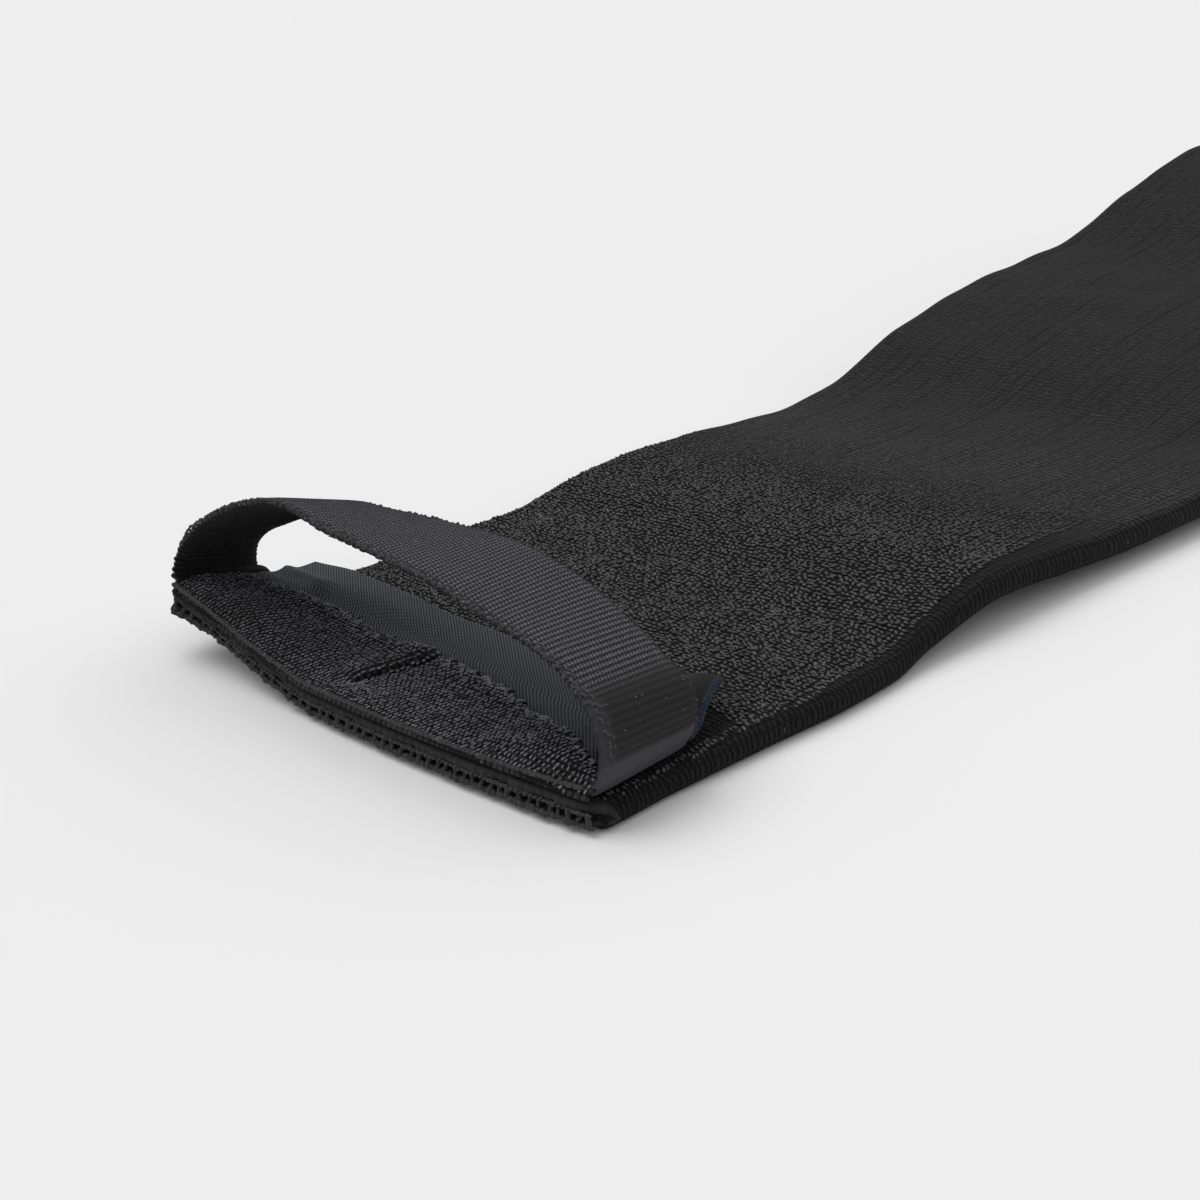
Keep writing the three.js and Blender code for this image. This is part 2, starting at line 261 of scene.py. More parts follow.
# cloth is (along, across) in millimetres for each point, masks are its numbers or vectors
def makeObject(name, points, faces=(), finish=None, cloth=None, masks=None):
    mesh = bpy.data.meshes.new(name)
    mesh.from_pydata((np.reshape(points, (-1, 3)) * mm).tolist(), [], faces)
    mesh.validate()
    mesh.polygons.foreach_set("use_smooth", np.ones(len(mesh.polygons), bool))
    if cloth is not None:
        flat = (np.reshape(cloth, (-1, 2)) * mm).astype(np.float32)
        index = np.empty(len(mesh.loops), np.int32)
        mesh.loops.foreach_get("vertex_index", index)
        mesh.uv_layers.new(name="cloth").data.foreach_set("uv", flat[index].ravel())
    for key, values in (masks or {}).items():
        values = np.asarray(values, np.float32).ravel()
        vectors = len(values) == 3 * len(mesh.vertices)
        attribute = mesh.attributes.new(key, "FLOAT_VECTOR" if vectors else "FLOAT", "POINT")
        attribute.data.foreach_set("vector" if vectors else "value", values)
    if finish:
        mesh.materials.append(finish)
    return addObject(name, mesh)


# a closed shell between two grids of points
def closedSheet(name, top, bottom, finish, cloth, masks=None):
    index = np.arange(top[..., 0].size).reshape(top.shape[:2])
    under = index.size
    a, b, c, d = index[:-1, :-1], index[:-1, 1:], index[1:, 1:], index[1:, :-1]
    upper = np.stack([a, b, c, d], -1).reshape(-1, 4)
    lower = under + np.stack([a, d, c, b], -1).reshape(-1, 4)
    rim = np.concatenate([index[0], index[1:, -1], index[-1, -2::-1], index[-2:0:-1, 0]])
    after = np.roll(rim, -1)
    wall = np.stack([after, rim, under + rim, under + after], 1)
    faces = np.concatenate([upper, lower, wall]).tolist()
    both = {key: np.concatenate([np.ravel(v)] * 2) for key, v in (masks or {}).items()}
    cloth = np.concatenate([cloth.reshape(-1, 2)] * 2)
    return makeObject(name, np.array([top, bottom]), faces, finish, cloth, both)


# each point's place on the cloth, across it counted over the surface from the middle column
def clothOf(along, grid):
    steps = np.linalg.norm(np.diff(grid, axis=1), axis=2)
    run = np.concatenate([np.zeros((len(grid), 1)), np.cumsum(steps, 1)], 1)
    across = run[:, grid.shape[1] // 2][:, None] - run
    return np.stack([np.broadcast_to(along, across.shape), across], -1)


# a short thread along points, round at its ends, as a stitch to repeat
def threadStitch(points, radius, sides=6):
    points = np.asarray(points, float)
    size = radius * np.sqrt(np.maximum(0.12, 1 - np.linspace(-1, 1, len(points)) ** 4))
    tangent = unit(np.gradient(points, axis=0))
    normal = unit(np.cross(tangent, (0.13, 0.21, 0.97)))  # any way that no thread follows
    other = np.cross(tangent, normal)
    angle = (np.arange(sides) * fullTurn / sides)[:, None]
    ring = np.cos(angle) * normal[:, None] + np.sin(angle) * other[:, None]
    tips = points[[0, -1]] + tangent[[0, -1]] * size[[0, -1], None] * [[-0.6], [0.6]]
    verts = np.concatenate([(points[:, None] + size[:, None, None] * ring).reshape(-1, 3), tips])
    last = (len(points) - 1) * sides
    sideways = [(k, (k + 1) % sides) for k in range(sides)]
    faces = [(i + k, i + n, i + sides + n, i + sides + k)
             for i in range(0, last, sides) for k, n in sideways]
    faces += [(n, k, last + sides) for k, n in sideways]
    faces += [(last + k, last + n, last + sides + 1) for k, n in sideways]
    # crest, the height within the stitch, is what the loop yarn's painted highlight follows
    height = verts[:, 2] - verts[:, 2].min()
    return makeObject("stitch", verts, faces, masks={"crest": height / height.max()})


# Nodes


# a socket that takes part in plain sums
class Value:
    def __init__(self, socket):
        self.socket, self.tree = socket, socket.id_data

    def __add__(self, other):
        return calc("ADD", self, other)

    def __sub__(self, other):
        return calc("SUBTRACT", self, other)

    def __rsub__(self, other):
        return calc("SUBTRACT", other, self)

    def __mul__(self, other):
        return calc("MULTIPLY", self, other)

    def __truediv__(self, other):
        return calc("DIVIDE", self, other)


def feed(socket, value):
    if isinstance(value, Value):
        value.tree.links.new(value.socket, socket)
    else:
        socket.default_value = value


# a node with its inputs by name or number, and the first of its outputs
def addNode(tree, kind, inputs, output=0, **settings):
    node = tree.nodes.new(kind)
    for key, value in settings.items():
        setattr(node, key, value)
    for key, value in inputs.items():
        feed(node.inputs[key], value)
    return Value(node.outputs[output])


def calc(operation, *values):
    tree = next(v.tree for v in values if isinstance(v, Value))
    return addNode(tree, "ShaderNodeMath", dict(enumerate(values)), operation=operation)


def clamp(value):
    value.socket.node.use_clamp = True
    return value


def startGroup(kind, name, inputs, outputs):
    tree = bpy.data.node_groups.new(name, kind + "NodeTree")
    for label, socketKind in inputs:
        tree.interface.new_socket(label, in_out="INPUT", socket_type="NodeSocket" + socketKind)
    for label, socketKind in outputs:
        tree.interface.new_socket(label, in_out="OUTPUT", socket_type="NodeSocket" + socketKind)
    given = {s.name: Value(s) for s in tree.nodes.new("NodeGroupInput").outputs if s.name}
    return tree, given, tree.nodes.new("NodeGroupOutput").inputs


def endGroup(out, *values):
    for socket, value in zip(out, values):
        feed(socket, value)
    return out[0].id_data


# Geometry Nodes that sew a stitch, loop or hook again and again
def sewingTree():
    tree, given, out = startGroup(
        "Geometry", "sewInRows",
        [("Geometry", "Geometry"), ("Stitch", "Object"), ("Size", "Float"),
         ("Size Spread", "Float"), ("Turn Spread", "Float"), ("Seed", "Int"),
         ("Thread", "Material")], [("Geometry", "Geometry")])
    stitch = addNode(tree, "GeometryNodeObjectInfo", {"Object": given["Stitch"]}, "Geometry")
    turn, stretch = (addNode(tree, "GeometryNodeInputNamedAttribute", {"Name": name},
                             data_type="FLOAT_VECTOR") for name in ("turn", "stretch"))
    spread, seed = given["Turn Spread"], given["Seed"]
    wobble = addNode(tree, "FunctionNodeRandomValue", {0: spread * -1, 1: spread, "Seed": seed},
                     data_type="FLOAT_VECTOR")
    turned = addNode(tree, "ShaderNodeVectorMath", {0: turn, 1: wobble})
    low, high = given["Size"] - given["Size Spread"], given["Size"] + given["Size Spread"]
    growth = addNode(tree, "FunctionNodeRandomValue", {2: low, 3: high, "Seed": seed}, 1,
                     data_type="FLOAT")
    scaled = addNode(tree, "ShaderNodeVectorMath", {0: stretch, "Scale": growth},
                     operation="SCALE")
    placed = addNode(tree, "GeometryNodeInstanceOnPoints", {
        "Points": given["Geometry"], "Instance": stitch, "Scale": scaled,
        "Rotation": addNode(tree, "FunctionNodeEulerToRotation", {0: turned})})
    real = addNode(tree, "GeometryNodeRealizeInstances", {0: placed})
    return endGroup(out, addNode(tree, "GeometryNodeSetMaterial",
                                 {"Geometry": real, "Material": given["Thread"]}))


sewing = sewingTree()


# repeats a stitch object: its X along forward, its Z along outward
def sew(name, places, forward, outward, stitch, finish, sizeSpread, turnSpread, seed,
        stretch=None, size=1.0):
    places = np.reshape(places, (-1, 3))
    turns = []
    for x, z in zip(*(np.broadcast_to(way, places.shape) for way in (forward, outward))):
        x, z = Vector(x).normalized(), Vector(z)
        z = (z - x * z.dot(x)).normalized()
        turns.append(Matrix((x, z.cross(x), z)).transposed().to_euler())
    stretch = np.ones(places.shape) if stretch is None else stretch
    obj = makeObject(name, places, masks={"turn": turns, "stretch": stretch})
    modifier = obj.modifiers.new("sewing", "NODES")
    modifier.node_group = sewing
    values = {"Stitch": stitch, "Size": size, "Size Spread": sizeSpread,
              "Turn Spread": turnSpread, "Seed": seed, "Thread": finish}
    for item in sewing.interface.items_tree:
        if item.name in values:
            modifier[item.identifier] = values[item.name]
    depsgraph = bpy.context.evaluated_depsgraph_get()
    result = bpy.data.meshes.new_from_object(
        obj.evaluated_get(depsgraph), preserve_all_data_layers=True, depsgraph=depsgraph)
    obj.modifiers.clear()
    obj.data = result
    result.polygons.foreach_set("use_smooth", np.ones(len(result.polygons), bool))
    bpy.data.objects.remove(stitch)
    return obj


# Shader helpers and the effects that several finishes share


def remap(value, low, high, newLow=0.0, newHigh=1.0):
    return addNode(value.tree, "ShaderNodeMapRange",
                   dict(enumerate((value, low, high, newLow, newHigh))),
                   interpolation_type="SMOOTHSTEP")


def vector(x, y=0.0, z=0.0):
    return addNode(x.tree, "ShaderNodeCombineXYZ", {0: x, 1: y, 2: z})


def noise(place, scale, detail=2.0, roughness=0.5):
    return addNode(place.tree, "ShaderNodeTexNoise", {
        "Vector": place, "Scale": scale, "Detail": detail, "Roughness": roughness}, "Fac")


def split(value, kind="XYZ"):
    node = addNode(value.tree, "ShaderNodeSeparate" + kind, {0: value}).socket.node
    return [Value(socket) for socket in node.outputs]


# a wave from 0 to 1
def swing(value, pitch=1.0, kind="SINE"):
    return calc(kind, value * (fullTurn / pitch)) * 0.5 + 0.5


def grey(value, blue=1.0, green=1.0):
    return (value, value * green, value * blue, 1)


# lays colours over the first one, each with its share; a number is a grey
def cover(colour, *layers):
    for share, tone in layers:
        a, b = (grey(c) if isinstance(c, float) else c for c in (colour, tone))
        colour = addNode(share.tree, "ShaderNodeMix", {"Factor": share, "A": a, "B": b},
                         "Result", data_type="RGBA")
    return colour


def useGroup(group, values):
    tree = next(v.tree for v in values.values() if isinstance(v, Value))
    node = tree.nodes.new("ShaderNodeGroup")
    node.node_tree = group
    for socket in node.inputs:
        if socket.name in values:
            feed(socket, values[socket.name])
    return [Value(socket) for socket in node.outputs]


# rows of short loops: each row lies across, and loopLength sets the loops in it apart
def makeKnitGroup():
    names = ("along", "across", "rowPitch", "loopLength", "wander", "disorder", "fullness",
             "stagger")
    tree, given, out = startGroup("Shader", "knitLoops", [(n, "Float") for n in names],
                                  [(n, "Float") for n in ("height", "tone", "gap")])
    along, across, rowPitch, loopLength, wander, disorder, fullness, stagger = given.values()
    spot = vector(along, across)
    slow = noise(spot, 0.22, 1.0) - 0.5
    quick = noise(spot, 1.15, 1.0) - 0.5
    quickSide = noise(vector(across, along, 7.3), 1.0, 1.0) - 0.5
    row = (along + slow * (wander * 6.0) + quick * (disorder * 2.6)) / rowPitch
    rowIndex = calc("FLOOR", row)
    cell = (across + quickSide * (disorder * 3.4)) / loopLength + rowIndex * stagger
    grain = addNode(tree, "ShaderNodeTexWhiteNoise",
                    {"Vector": vector(rowIndex, calc("FLOOR", cell), 3.0)}, "Color",
                    noise_dimensions="3D")
    first, second, third = split(grain, "Color")[:3]
    x = calc("FRACT", cell) - 0.5 + (second - 0.5) * disorder
    y = calc("FRACT", row) - 0.5 + (first - 0.5) * (disorder * 0.7)
    slanted = y + x * ((third - 0.35) * 0.5)
    farX = calc("POWER", calc("ABSOLUTE", x / (second * 0.14 + 0.42)), 3.0)
    farY = calc("POWER", calc("ABSOLUTE", slanted / (fullness * 0.5)), 2.0)
    height = calc("POWER", clamp(1.0 - (farX + farY)), 0.7)
    # the gap output marks the dents between the loops, which the finishes paint dark as painted
    # shade
    return endGroup(out, height, third, remap(height, 0.0, 0.8, 1.0, 0.0))


# fine fibres and lint: small bright specks on an uneven tone
def makeFuzzGroup():
    inputs = [("place", "Vector")] + [
        (n, "Float") for n in ("grain", "lintScale", "lintAmount", "patchSize")]
    tree, given, out = startGroup("Shader", "fibreLint", inputs,
                                  [(n, "Float") for n in ("fibre", "lint", "patch")])
    spot, grain, lintScale, lintAmount, patchSize = given.values()
    specks = addNode(tree, "ShaderNodeTexVoronoi", {"Vector": spot, "Scale": lintScale}, "Color")
    some = calc("LESS_THAN", split(specks, "Color")[0], lintAmount)
    close = remap(Value(specks.socket.node.outputs["Distance"]), 0.10, 0.34, 1.0, 0.0)
    return endGroup(out, noise(spot, grain, 3.0, 0.7), some * close, noise(spot, patchSize, 3.0))


knitGroup = makeKnitGroup()
fuzzGroup = makeFuzzGroup()


def addFuzz(spot, grain, lintScale, lintAmount, patchSize):
    return useGroup(fuzzGroup, {"place": spot, "grain": grain, "lintScale": lintScale,
                                "lintAmount": lintAmount, "patchSize": patchSize})


def startFinish(name, roughness, sheenRough=0.5, sheen=0.03, specular=0.12):
    material = bpy.data.materials.new(name)
    material.use_nodes = True
    shader = material.node_tree.nodes["Principled BSDF"]
    for key, value in (("Roughness", roughness), ("Specular IOR Level", specular),
                       ("Sheen Weight", sheen), ("Sheen Roughness", sheenRough)):
        shader.inputs[key].default_value = value
    return material


# gives the material its colour and a bump of relief millimetres
def endFinish(material, colour, height, relief):
    shader = material.node_tree.nodes["Principled BSDF"]
    feed(shader.inputs["Base Color"], colour)
    feed(shader.inputs["Normal"], addNode(height.tree, "ShaderNodeBump", {
        "Height": height, "Distance": relief * mm, "Strength": 1.0}))
    return material


# millimetres along and across the cloth, from the piece's own UV map
def clothPlace(material):
    flat = addNode(material.node_tree, "ShaderNodeUVMap", {}, uv_map="cloth")
    return [value * (1 / mm) for value in split(flat)[:2]]


def objectPlace(material):
    spot = addNode(material.node_tree, "ShaderNodeTexCoord", {}, "Object")
    return addNode(spot.tree, "ShaderNodeVectorMath", {0: spot, "Scale": 1 / mm},
                   operation="SCALE")


def mask(material, name):
    return addNode(material.node_tree, "ShaderNodeAttribute", {}, "Fac", attribute_name=name)


bandKnit = {
    "rowPitch": 0.69,
    "loopLength": 0.91,
    "wander": 0.30,
    "disorder": 0.20,
    "fullness": 0.84,
    "stagger": 0.0,
    "toneSpread": 0.7,
    "toneStart": 0.62,
    "fibreSpread": 0.8,
    "fibreStart": 0.6,
    "relief": 0.42,
    # deep: the colour of the painted shade in the gaps between the loops and under the raised
    # loops
    "deep": 0.0015,
    "light": 0.120,
    "worn": (0.035, 0.175),  # shares of light where the knit lies flat
    "flatFrom": 40.0,
    "flatTo": 120.0,
    "channelPitch": 2.6,
    "channelDark": 0.42,
    "loopsEnd": 100.0,
}
hemKnit = {
    "rowPitch": 0.72,
    "loopLength": 0.92,
    "wander": 0.12,
    "disorder": 0.12,
    "fullness": 0.78,
    "stagger": -0.22,
    "toneSpread": 0.6,
    "toneStart": 0.65,
    "fibreSpread": 0.9,
    "fibreStart": 0.55,
    "relief": 0.38,
    # deep: the colour of the painted shade between the flap's loops
    "deep": 0.0012,
    "light": 0.105,
}


# the knit's colour and the height of its loops; the colour carries painted light: loop tops
# painted lighter (painted highlight), gaps between loops painted dark (painted shade)
def knitted(k, along, across, fibre):
    height, tone, gapShade = useGroup(knitGroup, {**k, "along": along, "across": across})
    # the height factor paints each loop lighter towards its top, a painted highlight
    tone = ((tone * k["toneSpread"] + k["toneStart"])
            * (fibre * k["fibreSpread"] + k["fibreStart"]) * (height * 0.9 + 0.25))
    # the gaps between the loops get the deep colour, painted shade
    return cover(0.0, (tone, k["light"]), (gapShade, k["deep"])), height


def makeBandFinish(k):
    material = startFinish("bandKnit", 0.93, 0.6)
    along, across = clothPlace(material)
    spot = vector(along, across)
    fibre, lint, patch = addFuzz(spot, 7.0, 2.2, 0.012, 0.05)
    colour, height = knitted(k, along, across, fibre)
    far = remap(along, k["flatFrom"], k["flatTo"])
    drift = noise(vector(along * 0.12, across), 0.5) * 1.6
    wave = calc("SINE", across * (fullTurn / k["channelPitch"]) + drift)
    patches = noise(vector(along * 0.05, across * 0.35, 4.0), 1.0)
    channel = remap(wave, -1.0, -0.30, 1.0, 0.0) * remap(patches, 0.38, 0.62, 0.15, 1.0)
    mottle = remap(noise(spot, 1.1, 3.0), 0.36, 0.64)
    low, high = (k["light"] * share for share in k["worn"])
    worn = cover(low, (clamp(mottle * 0.6 + fibre * 0.5), high))
    # where the raised loops lie, the knit under them is painted almost the deep colour: painted
    # shade under the loops
    under = remap(along, k["loopsEnd"] - 34, k["loopsEnd"] - 6, 1.0, 0.0)  # the raised loops
    colour = cover(colour, (far * 0.88, worn), (channel * k["channelDark"], 0.004),
                   (patch * 0.35, 0.012), (under * 0.88, k["deep"]),
                   # the rim mask paints the band's side edges darker, painted shade on the sides
                   (mask(material, "rim") * 0.75, 0.0045), (lint * 0.5, 0.16))
    height = height * (far * -0.75 + 1.0) + fibre * 0.28 - channel * 0.40
    return endFinish(material, colour, height, k["relief"])


def makeHemFinish(k):
    material = startFinish("hemKnit", 0.9, 0.55)
    along, across = clothPlace(material)
    fibre, lint, patch = addFuzz(vector(along, across), 8.0, 1.6, 0.02, 0.12)
    colour, height = knitted(k, along, across, fibre)
    # the flap's knit under its raised loops is painted mostly with the deep colour: painted shade
    # between the loops
    colour = cover(colour, (patch * 0.3 + 0.6, k["deep"]), (lint * 0.7, 0.2))
    return endFinish(material, colour, height + fibre * 0.3, k["relief"])


satin = {
    "pitch": 0.34,
    "lean": 1.4,  # the twill's lines cross the label at a slant
    "stepPitch": 0.62,
    "stepShift": 0.23,
    "relief": 0.06,
    "deep": 0.005,
    "light": 0.105,
    "edgeBlue": (0.012, 0.028, 0.058, 1),
    "patchTone": (0.014, 0.016, 0.02, 1),
}


def makeLabelFinish(k):
    material = startFinish("labelSatin", 0.7, 0.4)
    along, across = clothPlace(material)
    spot = vector(along, across)
    fibre, lint, patch = addFuzz(spot, 5.0, 1.5, 0.03, 0.10)
    turn = math.atan(k["lean"])
    lean = along * math.sin(turn) - across * math.cos(turn) + patch * 0.06
    onward = along * math.cos(turn) + across * math.sin(turn)
    onward = onward + calc("FLOOR", lean / k["pitch"]) * k["stepShift"]
    weave = swing(lean, k["pitch"]) * (swing(onward, k["stepPitch"]) * 0.5 + 0.5)
    worn = remap(noise(spot, 1.6), 0.40, 0.62)
    edge = cover(k["edgeBlue"], (worn, grey(0.05, 1.25)),
                 (remap(fibre, 0.42, 0.56, 0.85, 0.0), grey(0.004, 1.5)))
    colour = cover(grey(k["deep"], 1.2, 1.05),
                   (weave * (fibre * 0.9 + 0.55), grey(k["light"], 1.18, 1.05)),
                   (patch * 0.3, k["patchTone"]),
                   (mask(material, "shade") * 0.95, grey(0.004, 1.15)),
                   (mask(material, "endEdge"), edge), (lint * 0.8, 0.22))
    return endFinish(material, colour, weave + fibre * 0.3, k["relief"])


webbing = {
    "ribPitch": 0.69,
    "dashPitch": 0.42,
    "dashShift": 0.45,
    "relief": 0.14,
    "deep": 0.005,
    "light": 0.195,
    "smoothTone": 0.016,
    "foldTone": 0.050,
}


def makeWebFinish(k):
    material = startFinish("loopWebbing", 0.85, 0.5, 0.04, 0.15)
    along, across = clothPlace(material)
    fibre, lint, _ = addFuzz(vector(along, across), 6.0, 3.2, 0.03, 0.10)
    row = along / k["ribPitch"]
    rib = swing(row, kind="COSINE")
    shift = calc("FLOOR", row + 0.5) * k["dashShift"]
    dashes = swing(across / k["dashPitch"] + shift + fibre * 1.2)
    yarn = calc("POWER", rib, 0.8) * (dashes * 0.85 + 0.15)
    plain = cover(k["smoothTone"] * 0.3,
                  (clamp(fibre * 0.8 + (rib * 0.45 - 0.1)), k["smoothTone"] * 1.6))
    fold = cover(grey(k["foldTone"] * 0.7, 1.15), (fibre, grey(k["foldTone"] * 1.3, 1.15)))
    colour = cover(grey(k["deep"], 1.1),
                   (clamp(yarn * (fibre * 1.2 + 0.4)), grey(k["light"], 1.14)),
                   (mask(material, "plain"), plain), (mask(material, "fold"), fold),
                   # the inner mask paints the webbing's inside face almost black: painted shade
                   # inside the loop
                   (mask(material, "inner"), cover(0.0015, (rib, 0.009))),
                   (lint * 0.6, grey(0.24, 0.95)))
    bare = mask(material, "plain") * -0.8 + 1.0
    return endFinish(material, colour, dashes * bare + fibre, k["relief"])


def makeThreadFinish(name, dark, light, roughness=0.85, channel=False):
    material = startFinish(name, roughness)
    fibre, lint, _ = addFuzz(objectPlace(material), 5.0, 1.3, 0.02, 0.4)
    colour = cover(dark, (clamp(fibre * 1.3 - 0.15), light), (lint * 0.5, 0.2))
    # channel: where the deep mask is, the roll's hollow is painted almost black, painted shade
    if channel:
        colour = cover(colour, (mask(material, "deep"), 0.0012))
    return endFinish(material, colour, fibre, 0.08)


def makeTapeFinish(pitch=0.7):
    material = startFinish("hookTape", 0.7, 0.5, 0.04, 0.2)
    along, across = clothPlace(material)
    fibre, lint, _ = addFuzz(vector(along, across), 6.0, 1.5, 0.02, 0.1)
    weave = swing(across, pitch) * swing(along, pitch)
    colour = cover(0.006, (weave * fibre, 0.045), (lint * 0.6, 0.18))
    return endFinish(material, colour, weave + fibre * 0.3, 0.08)


# yarn of the raised loops, each loop a little lighter or darker, and each stitch painted lighter
# towards its crest: a painted highlight
def makeLoopFinish(name, dark, light, uneven, crestHighlightFrom, leftShade=1.0):
    material = startFinish(name, 0.9, 0.55)
    spot = objectPlace(material)
    fibre, lint, patch = addFuzz(spot, 6.0, 1.4, 0.015, 0.06)
    each = clamp(noise(spot, 1.0, 1.0) * 1.5 - 0.25)
    share = clamp(fibre * 0.9 + (each * uneven - 0.25 * uneven))
    # painted highlight: the yarn's light share grows towards each stitch's crest
    share = share * remap(mask(material, "crest"), crestHighlightFrom, 1.0, 0.10, 1.0)
    x, y, _ = split(spot)
    share = share * remap(y, -12, 30, 1.0, leftShade)
    far = remap(x, -96, -54)  # towards the far end the loops are worn smooth
    share = far * ((0.12 - share) * 0.9) + share
    colour = cover(dark, (share, light), (patch * 0.3, dark), (lint * 0.6, 0.2))
    return endFinish(material, colour, fibre, 0.10)


bandFinish = makeBandFinish(bandKnit)
loopFinish = makeLoopFinish("knitYarn", 0.001, 0.215, 0.45, 0.5)
hemLoopFinish = makeLoopFinish("hemYarn", 0.0015, grey(0.31, 1.10), 1.2, 0.45, 0.60)
hemFinish = makeHemFinish(hemKnit)
rollFinish = makeThreadFinish("hemRoll", 0.004, 0.042, channel=True)
labelFinish = makeLabelFinish(satin)
webFinish = makeWebFinish(webbing)
threadFinish = makeThreadFinish("overlockThread", 0.003, 0.080)
ridgeFinish = makeThreadFinish("ridgeThread", 0.005, 0.095)
selvageFinish = makeThreadFinish("selvageThread", 0.002, 0.105)
tapeFinish = makeTapeFinish()
print("finishes made")

# Band


def bandUneven(along, side):
    return ripple(along, side, 3, 11) * band["unevenness"] * smooth(along, 16, 26)


def makeBand():
    radius, start, end = band["thickness"] / 2, band["hemEndRadius"], band["end"]
    v = roundStations(70, radius / band["width"], 7)[None]
    s = np.concatenate([edgeSteps(start), np.arange(1.2, 80, 0.8), np.arange(80, end - 1.8, 1.1),
                        (end - edgeSteps(radius))[::-1]])[:, None]
    begin = hemEnd((0.5 - v) * band["hemWidth"]) + band["hemSetback"]
    along = begin + s * (1 - begin / end)
    left, right = edgeReach(along, True), edgeReach(along, False)
    side = mix(left, -right, v)
    toSide = inwards(v, left + right) / radius
    toEnd = np.minimum(s / start, (end - s) / radius)
    share = roundedEdge(toEnd, 1) * roundedEdge(toSide, 1)
    bottom = underside(along, side)
    half = (bandTop(along, side) - bottom) / 2
    uneven = bandUneven(along, side) * np.minimum(1, share)
    top = stack(along, side, bottom + half + half * share + uneven)
    under = stack(along, side, bottom + half - half * share)
    # rim marks the band's side edges, which the finish paints darker as painted shade
    rim = np.broadcast_to(1 - smooth(toSide, 0.25, 0.8), along.shape)
    return closedSheet("band_knit", top, under, bandFinish, clothOf(along, top), {"rim": rim})


bandPiece = makeBand()

hem = {
    "flapThickness": 1.3,
    "flapRightEnd": 1.5,  # past the loop's foot
    "creaseAlong": [0.0, 2.0, 3.8, 5.9, 8.2, 10.8, 13.0],
    "creaseSide": [5.2, 4.3, 2.9, 2.2, 1.6, 0.7, 0.2],
    "creaseRise": 0.62,
    "creaseReach": 12.0,
    "creaseDepth": 0.5,
    "creaseLean": 0.6,
    "edgeAcross": [0, .10, .24, .36, .50, .64, .78, .90, 1],
    "flapEdge": [.32, .52, .74, .90, .97, .92, 1.0, .93, .84],
    "labelEdge": [1.11, 1.18, 1.12, 1.04, 1.06, 1.03, 1.03, 1.05, 1.02],
    "labelReach": 20.0,
    "overLabel": 0.45,
    "tipReach": 1.2,
    "edgeHollow": 0.55,
    "foldSide": [-41, -33, -18, 0, 22, 30, 36, 41],
    "foldOut": [0.25, 0.3, 0.4, 0.55, 0.7, 0.95, 1.4, 0.6],
    "fan": -1.1,  # rows of the knit bow round the crease
}
knitLoops = {
    "starts": [1.5, 35.0, 68.0, 100.0],  # of the three pieces, and where the last one ends
    "fadeFrom": 58.0,
    "rowPitch": 0.57,
    "loopLength": 0.84,
    "rowShift": 0.09,
    "wander": (0.455, 0.14),  # how far a row strays, slowly and quickly
    "labelGap": 0.8,  # that the loops go on under the label's inner edge
    "jitter": 0.14,
    "slant": (-0.12, 0.34),
    "sink": 0.17,
    "rimTurn": 2.2,  # radians that the rows go on round the band's side edges
    "radius": 0.195,
    "halfLength": 0.45,
}


# a point of the band's upper face; run is the distance over it from the middle, and goes on
# round the rim
def bandSkin(along, run):
    radius = band["thickness"] / 2
    flat = reachOn(along, run) - radius
    turn = np.maximum(0, np.abs(run) - flat) / radius
    out = np.minimum(np.abs(run), flat) + radius * np.sin(np.minimum(turn, math.pi))
    side = np.where(run > 0, out, -out)
    bottom = underside(along, side)
    half = (bandTop(along, side) - bottom) / 2
    uneven = bandUneven(along, side) * np.cos(np.minimum(turn, math.pi / 2))
    return stack(along, side, bottom + half + half * np.cos(turn) + uneven)


# the point and the directions along the skin, across it and out of it
def skinFrame(skin, a, b, stepA, stepB):
    alongWay = unit(skin(a + stepA, b) - skin(a - stepA, b))
    acrossWay = unit(skin(a, b + stepB) - skin(a, b - stepB))
    return skin(a, b), alongWay, acrossWay, unit(np.cross(alongWay, acrossWay))


